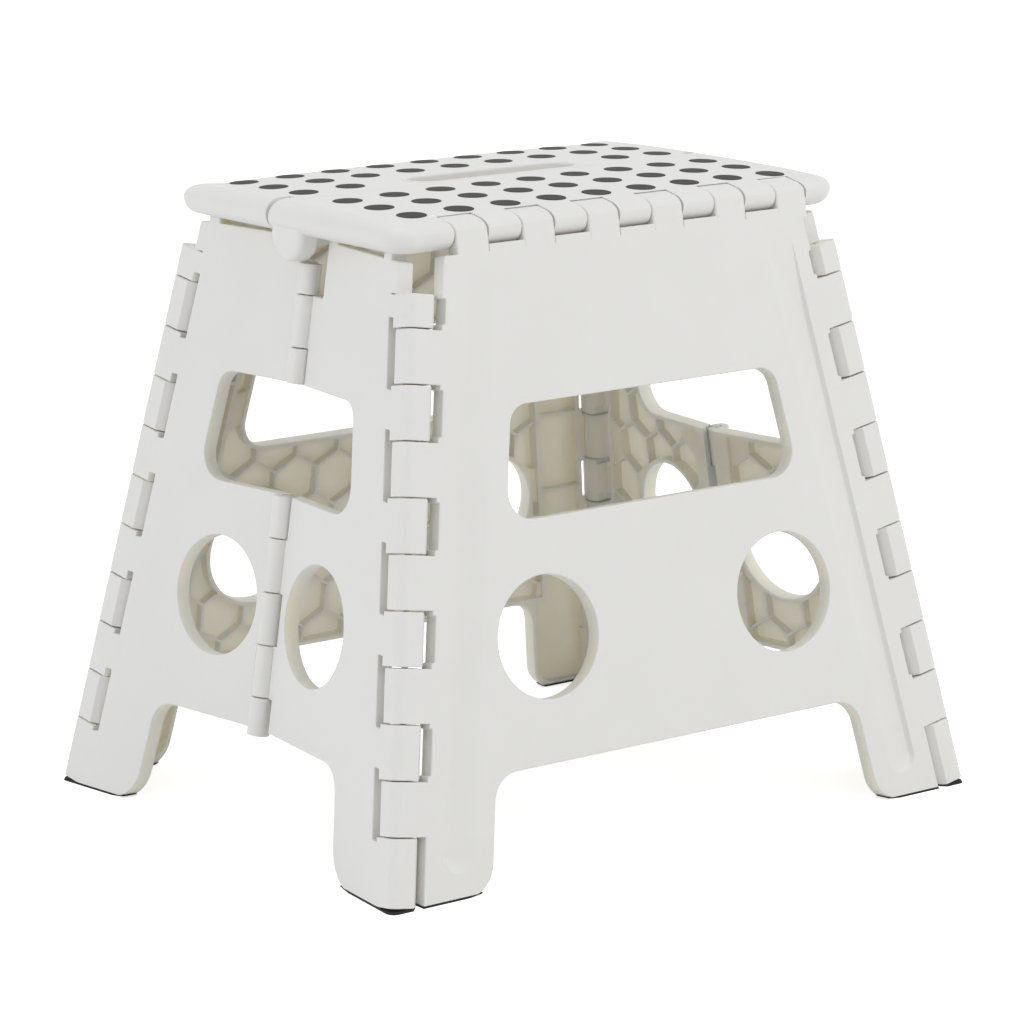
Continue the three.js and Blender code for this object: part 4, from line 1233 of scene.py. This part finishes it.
def seat_mesh(slotted):
    own = seam_parts(slotted, KNUCKLE_RIM, LOBE_RIM, 0)
    rooms = seam_parts(not slotted, 0, 0, SEAM_GAP)
    notch = arc(TONGUE_REACH, -math.pi / 2, math.pi / 2, ROUND_STEPS // 2) + [
        Vector((-2 * TONGUE_REACH, TONGUE_REACH)), Vector((-2 * TONGUE_REACH, -TONGUE_REACH)),
    ]
    notches = tongue_rooms(notch)
    whole = seat_board(-SEAM_GAP / 2, SEAM_ROUND)
    if slotted:
        lip = plate(slot_outline(SLOT_LIP), edge_z, STOOL_HEIGHT + SLOT_RISE, 0, SLOT_RISE)
        whole = joined(whole, lip)
    whole = cut(whole, seat_pockets(slotted), notches, gathered(rooms))
    if slotted:
        whole = cut(whole, lobe_caps(SEAM_GAP),
                    cutter(slot_outline(0), SEAT_UNDERSIDE, STOOL_HEIGHT + SLOT_RISE, SLOT_ROUND))
    whole = joined(whole, gathered(own))
    if not slotted:
        far_board = seat_board(SEAM_GAP, SEAM_GAP)
        far_board.transform(HALF_TURN)
        whole = joined(whole, mixed(far_board, lobe_caps(0), "INTERSECT"))
    bores = gathered([bore_along(seam_frame, start - RUNNING_GAP, end + RUNNING_GAP)
                      for start, end in both_ends(*SEAM_ROD)])
    edge_end = EDGE_ROD_END + RUNNING_GAP
    return cut(whole, bores, bore_along(seat_edge_frame, -edge_end, edge_end))


# %% [markdown]
# ## The crown of the seat
#
# The board isn't flat: it sinks by a fraction of a millimetre in the middle and by a few towards
# its ends and its hinged edges, where it drops away in a soft step. Only the top shows it, so the
# top faces are cut on a grid and their corners lowered, in full at the top and not at all at the
# hinge. A Displace modifier would need the same grid. The tongues of the panels lie in the same
# surface, so they get the same crown. Their inner sides are only trimmed by it, because they turn in
# rooms that are cut from the seat once more afterwards.

# %% Crown of the seat
CROWN_MIDDLE = 0.15
CROWN_ENDS = 0.9
CROWN_ENDS_AT = 137.6
CROWN_ENDS_POWER = 4
CROWN_LAST = 147.0
CROWN_EDGES = 1.1
CROWN_EDGES_AT = 88.2
CROWN_EDGES_POWER = 3
EDGE_STEP = 1.4
EDGE_STEP_FROM = 98.0
EDGE_STEP_WIDTH = 6.0
CROWN_GRID = 9.0
ON_PLANE = 0.0004


def crown(x, y):
    past = min(max((abs(y) - EDGE_STEP_FROM) / EDGE_STEP_WIDTH, 0), 1)
    before_end = min(max((CROWN_LAST - abs(x)) / EDGE_STEP_WIDTH + 1, 0), 1)
    run = min(abs(x), CROWN_LAST) / CROWN_ENDS_AT
    ends = CROWN_ENDS * run ** CROWN_ENDS_POWER
    edges = CROWN_EDGES * abs(y / CROWN_EDGES_AT) ** CROWN_EDGES_POWER
    return CROWN_MIDDLE + ends + edges + EDGE_STEP * past * past * (3 - 2 * past) * before_end


def crowned(mesh, plane, round_inside=False):
    work = opened(mesh)
    work.transform(plane)
    for axis, reach in ((Vector((1, 0, 0)), SEAT_LENGTH / 2), (Vector((0, 1, 0)), seat_depth)):
        count = math.floor(reach / CROWN_GRID)
        for step in range(-count, count + 1):
            top = [face for face in work.faces if min(vert.co.z for vert in face.verts) > edge_z]
            around = {edge for face in top for edge in face.edges}
            around |= {vert for face in top for vert in face.verts}
            bmesh.ops.bisect_plane(work, geom=top + list(around), dist=ON_PLANE,
                                   plane_co=axis * step * CROWN_GRID, plane_no=axis)
    for vert in work.verts:
        share = min(max((vert.co.z - edge_z) / HINGE_DEPTH, 0), 1)
        drop = crown(vert.co.x, vert.co.y)
        if round_inside and abs(vert.co.y) < abs(edge_y):
            vert.co.z = min(vert.co.z, STOOL_HEIGHT - drop)
        else:
            vert.co.z -= drop * share
    work.transform(plane.inverted())
    return stored(work, mesh)


round_rooms = tongue_rooms(ring(0, 0, TONGUE_REACH, 2 * ROUND_STEPS))
near_seat, far_seat = [cut(crowned(seat_mesh(slotted), Matrix()), round_rooms) for slotted in (False, True)]
panel_shape = crowned(panel_shape, panel_plane, True)
print("seat halves:", len(near_seat.polygons), len(far_seat.polygons), "faces")

# %% [markdown]
# ## Dressing the mouldings
#
# A moulding gets two plastics. The outer faces, which the mould maker polished, take the white one and
# are a little glossier; the ribbed inner side stays in the shade and takes the creamier one, whose colour
# is painted bounce light. Painting each face by hand would take long, and the rule is plain, so faces
# are sorted by their depth below the outer face and by the way they look.
# The back of the stool is the front turned about the vertical, and an end leaf with barrels, drawn
# on the left, is mirrored to the right, so five shapes dress all eight mouldings.

# %% Sort the faces
INNER_FROM = 1.5
LOOKS_OUT = 0.5
LOOKS_IN = 0.3


def faces_inward(face):
    return face.normal.z < 0 and math.copysign(face.normal.x, face.normal.x * face.center.x) < LOOKS_IN


def is_ribbed(face):
    return face.center.z < -INNER_FROM and face.normal.z < LOOKS_OUT


def inner_of_panel(face):
    depth = panel_leaf.corner.inverted() @ Vector((-abs(face.center.x), face.center.y, face.center.z))
    below_tongues = (panel_leaf.plane @ face.center).z < edge_z - PANEL_TOP_DROP - FLANGE
    if depth.x < KNUCKLE_NECK:
        return below_tongues and faces_inward(face)
    return is_ribbed(face) and below_tongues


def inner_of_end(face):
    depth = end_leaf.corner.inverted() @ face.center
    if face.center.x < BARREL + BARREL_GAP + DRIFT:
        return face.normal.z < 0
    if depth.x < KNUCKLE_NECK:
        return faces_inward(face)
    return is_ribbed(face)


def inner_of_seat(face):
    past_slot = (abs(face.center.x) > SLOT_LENGTH / 2 + SLOT_LIP / 2
                 or abs(face.center.y + SLOT_NEAR + SLOT_WIDTH / 2) > (SLOT_WIDTH + SLOT_LIP) / 2)
    return (past_slot and face.center.z < STOOL_HEIGHT - SEAT_SKIN + INNER_RIM
            and abs(face.center.x) < SEAT_LENGTH / 2 - POCKET_INSET + SEAT_RIB
            and edge_y + HINGE_DEPTH < face.center.y < -SEAM_BAND + SEAT_RIB)


# %% [markdown]
# ## Into place
#
# Small bevels shade well only when the flat faces keep their own direction, so a Weighted Normal
# modifier leans the shading towards the large faces, and edges sharper than the limit stay crisp.
# Each moulding then rides on the body of the solid that it takes over from, so it folds with it.

# %% Stand each moulding in its place
SHARP = math.radians(35)
BODY_OF = {node: body for body, nodes in frame["record"]["behaviour"]["bodies"].items() for node in nodes}


def dress(node, mesh, matrix, is_inner):
    mesh = mesh.copy()
    mesh.name = node + "_moulding"
    mesh.materials.clear()
    mesh.materials.append(white_plastic)
    mesh.materials.append(painted_bounce_plastic)
    for face in mesh.polygons:
        # faces in the shade get the creamier plastic: painted bounce light
        face.material_index = 1 if is_inner(face) else 0
        face.use_smooth = True
    mesh.transform(Matrix.Scale(MM, 4) @ matrix)
    if matrix.determinant() < 0:
        mesh.flip_normals()
    work = opened(mesh)
    for edge in work.edges:
        edge.smooth = edge.calc_face_angle(math.pi) < SHARP
    stored(work, mesh)
    piece = in_scene(mesh.name, mesh)
    weigh = piece.modifiers.new("flat faces first", "WEIGHTED_NORMAL")
    weigh.keep_sharp = True
    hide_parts(node)
    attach(piece, BODY_OF[node])
    print(mesh.name, len(mesh.polygons), "faces")


dress("front_panel", panel_shape, panel_plane, inner_of_panel)
dress("back_panel", panel_shape, HALF_TURN @ panel_plane, inner_of_panel)
dress("left_front_leaf", hook_shape, end_plane, inner_of_end)
dress("right_front_leaf", barrel_shape, MIRROR_X @ end_plane, inner_of_end)
dress("right_back_leaf", hook_shape, HALF_TURN @ end_plane, inner_of_end)
dress("left_back_leaf", barrel_shape, HALF_TURN @ MIRROR_X @ end_plane, inner_of_end)
dress("seat_front_half", near_seat, Matrix(), inner_of_seat)
dress("seat_back_half", far_seat, HALF_TURN, inner_of_seat)

# %% [markdown]
# ## Pads and rods
#
# A pad shows as a thin black line under its leg, about half as high as its solid, so it is a copy of
# the solid at that height. The rods hide in their knuckles. They keep their solids, and only their
# metal changes.

# %% Pads and rods
for node, thing in list(frame["nodes"].items()):
    if node.endswith("_pad"):
        mesh = thing.data.copy()
        mesh.name = node + "_rubber"
        mesh.materials.clear()
        mesh.materials.append(pad_rubber)
        for vertex in mesh.vertices:
            vertex.co.z *= PAD_SHOWN / PAD_HEIGHT
        pad = in_scene(mesh.name, mesh)
        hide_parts(node)
        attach(pad, BODY_OF[node])
    if node.endswith("_rod"):
        thing.data.materials.clear()
        thing.data.materials.append(steel)

# %% [markdown]
# ## Grip discs
#
# The discs are a plain pattern, so one tree of Geometry Nodes lays them out for both halves: rows
# and columns at a pitch, less the columns of the first row that the hand slot takes. Each disc is a
# short cylinder with a small chamfer, a third of a millimetre high. A colour on the seat alone would
# lose the thin bright line round each disc. The discs are lowered by the crown, as the seat is.

# %% Grip discs with Geometry Nodes
DISC_RADIUS = 9.1
DISC_CHAMFER = 0.3
DISC_TOP = 0.3
DISC_SINK = 0.5
DISC_SIDES = 56
DISC_PITCH_X = 34.4
DISC_PITCH_Y = 32.55
DISC_FIRST = 23.1
DISC_COLUMNS = 9
DISC_ROWS = 3
SLOT_COLUMNS = 5


def disc_tree(paint):
    tree, given = new_tree("grip_discs", {
        "Columns": DISC_COLUMNS, "Rows": DISC_ROWS, "Slot Columns": 0,
        "Pitch X": DISC_PITCH_X * MM, "Pitch Y": DISC_PITCH_Y * MM, "First Row": DISC_FIRST * MM,
        "Radius": DISC_RADIUS * MM, "Level": STOOL_HEIGHT * MM,
    })
    points, row, column = grid(tree, given["Rows"], given["Columns"])
    last = maths(tree, "SUBTRACT", given["Columns"], 1.0)
    offset = maths(tree, "SUBTRACT", column, maths(tree, "MULTIPLY", last, 0.5))
    x = maths(tree, "MULTIPLY", offset, given["Pitch X"])
    y = maths(tree, "MULTIPLY", maths(tree, "MULTIPLY_ADD", row, given["Pitch Y"], given["First Row"]), -1.0)
    points = spread_out(tree, points, x, y, given["Level"])
    half_slot = maths(tree, "MULTIPLY", given["Slot Columns"], 0.5)
    taken = maths(tree, "LESS_THAN", maths(tree, "ABSOLUTE", offset), half_slot)
    in_first_row = maths(tree, "LESS_THAN", row, 0.5)
    kept = add(tree, "GeometryNodeDeleteGeometry", {
        "Geometry": points, "Selection": maths(tree, "MULTIPLY", taken, in_first_row),
    }, domain="POINT").outputs[0]
    shoulder = DISC_TOP - DISC_CHAMFER / 2
    top_radius = maths(tree, "SUBTRACT", given["Radius"], DISC_CHAMFER * MM)
    body = drum(tree, DISC_SIDES, given["Radius"], given["Radius"], (shoulder + DISC_SINK) * MM)
    cap = drum(tree, DISC_SIDES, given["Radius"], top_radius, DISC_CHAMFER / 2 * MM)
    disc = add(tree, "GeometryNodeJoinGeometry")
    for part, level in ((body, -DISC_SINK), (cap, shoulder)):
        tree.links.new(placed_at(tree, part, Translation=(0, 0, level * MM)), disc.inputs[0])
    return finish_tree(tree, kept, disc.outputs[0], paint)


grip_discs = disc_tree(disc_rubber)


def lay_discs(name, slot_columns, turn, body):
    mesh = grown(name, grip_discs, {"Slot Columns": slot_columns})
    for vertex in mesh.vertices:
        vertex.co.z -= crown(vertex.co.x / MM, vertex.co.y / MM) * MM
    mesh.transform(turn)
    holder = in_scene(name, mesh)
    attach(holder, body)
    print(name, len(mesh.polygons), "faces")


lay_discs("front_grip_discs", 0, Matrix(), BODY_OF["seat_front_half"])
lay_discs("back_grip_discs", SLOT_COLUMNS, HALF_TURN, BODY_OF["seat_back_half"])

# %% [markdown]
# ## Floor and light
#
# The stool stands on white. A floor painted full white would throw too much light back up. The
# floor is therefore a plain pale plane that is lifted to full white for the camera only, so it still
# takes the stool's shadow and lights the stool no more than it should. The sky behind it works the
# same way. Three large soft lamps and an even sky light the plastic about as bright as its colour is
# written: the key from the right front, a fill from the left, a weak one from above.

# %% Floor
FLOOR_HALF = 6.0
FLOOR_LIFT = 0.66
FLOOR_COLOR = (0.88, 0.88, 0.88, 1)
FLOOR_ROUGHNESS = 0.9
WHITE = (1, 1, 1, 1)


def seen_directly(tree):
    path = add(tree, "ShaderNodeLightPath").outputs
    return maths(tree, "ADD", path["Is Camera Ray"], path["Is Glossy Ray"])


floor_mesh = bpy.data.meshes.new("floor")
floor_corners = [(x * FLOOR_HALF, y * FLOOR_HALF, 0) for x, y in ((-1, -1), (1, -1), (1, 1), (-1, 1))]
floor_mesh.from_pydata(floor_corners, [], [(0, 1, 2, 3)])
floor = in_scene("floor", floor_mesh)
floor_material, floor_tree, floor_shader = new_material("floor")
feed(floor_tree, floor_shader, {
    "Base Color": FLOOR_COLOR,
    "Roughness": FLOOR_ROUGHNESS,
    "Specular IOR Level": 0.0,
    "Emission Strength": maths(floor_tree, "MULTIPLY", seen_directly(floor_tree), FLOOR_LIFT),
    "Emission Color": WHITE,
})
floor_mesh.materials.append(floor_material)

# %% Sky
SKY_COLOR = (0.97, 0.985, 1.0, 1)
SKY_STRENGTH = 0.62
world = bpy.data.worlds.new("sky")
scene.world = world
world.use_nodes = True
sky_tree = world.node_tree
sky_tree.nodes.clear()
sky_light = add(sky_tree, "ShaderNodeBackground", {"Color": SKY_COLOR, "Strength": SKY_STRENGTH})
sky_white = add(sky_tree, "ShaderNodeBackground", {"Color": WHITE, "Strength": 1.0})
sky_mix = add(sky_tree, "ShaderNodeMixShader", {
    0: seen_directly(sky_tree), 1: sky_light.outputs[0], 2: sky_white.outputs[0],
})
add(sky_tree, "ShaderNodeOutputWorld", {"Surface": sky_mix.outputs[0]})

# %% Lamps
AIM = Vector((0, 0, 0.2))


def lamp(name, place, size, power, color):
    data = bpy.data.lights.new(name, "AREA")
    data.shape = "SQUARE"
    data.size = size
    data.energy = power
    data.color = color
    turn = (AIM - Vector(place)).to_track_quat("-Z", "Y").to_matrix().to_4x4()
    in_scene(name, data).matrix_world = Matrix.Translation(place) @ turn


lamp("key", (1.2, -2.8, 2.2), 1.8, 35, (1.0, 0.995, 0.985))
lamp("left_fill", (-2.9, 0.6, 1.4), 1.8, 22, (0.98, 0.99, 1.0))
lamp("top", (0.3, 0.2, 3.0), 2.0, 8, (1, 1, 1))
print("lamps:", [light.name for light in bpy.data.lights])

# %% [markdown]
# ## Finish
#
# The view transform stays plain, so colours come out as they are written.

# %% Finish
scene.view_settings.view_transform = "Standard"
bpy.context.view_layer.update()
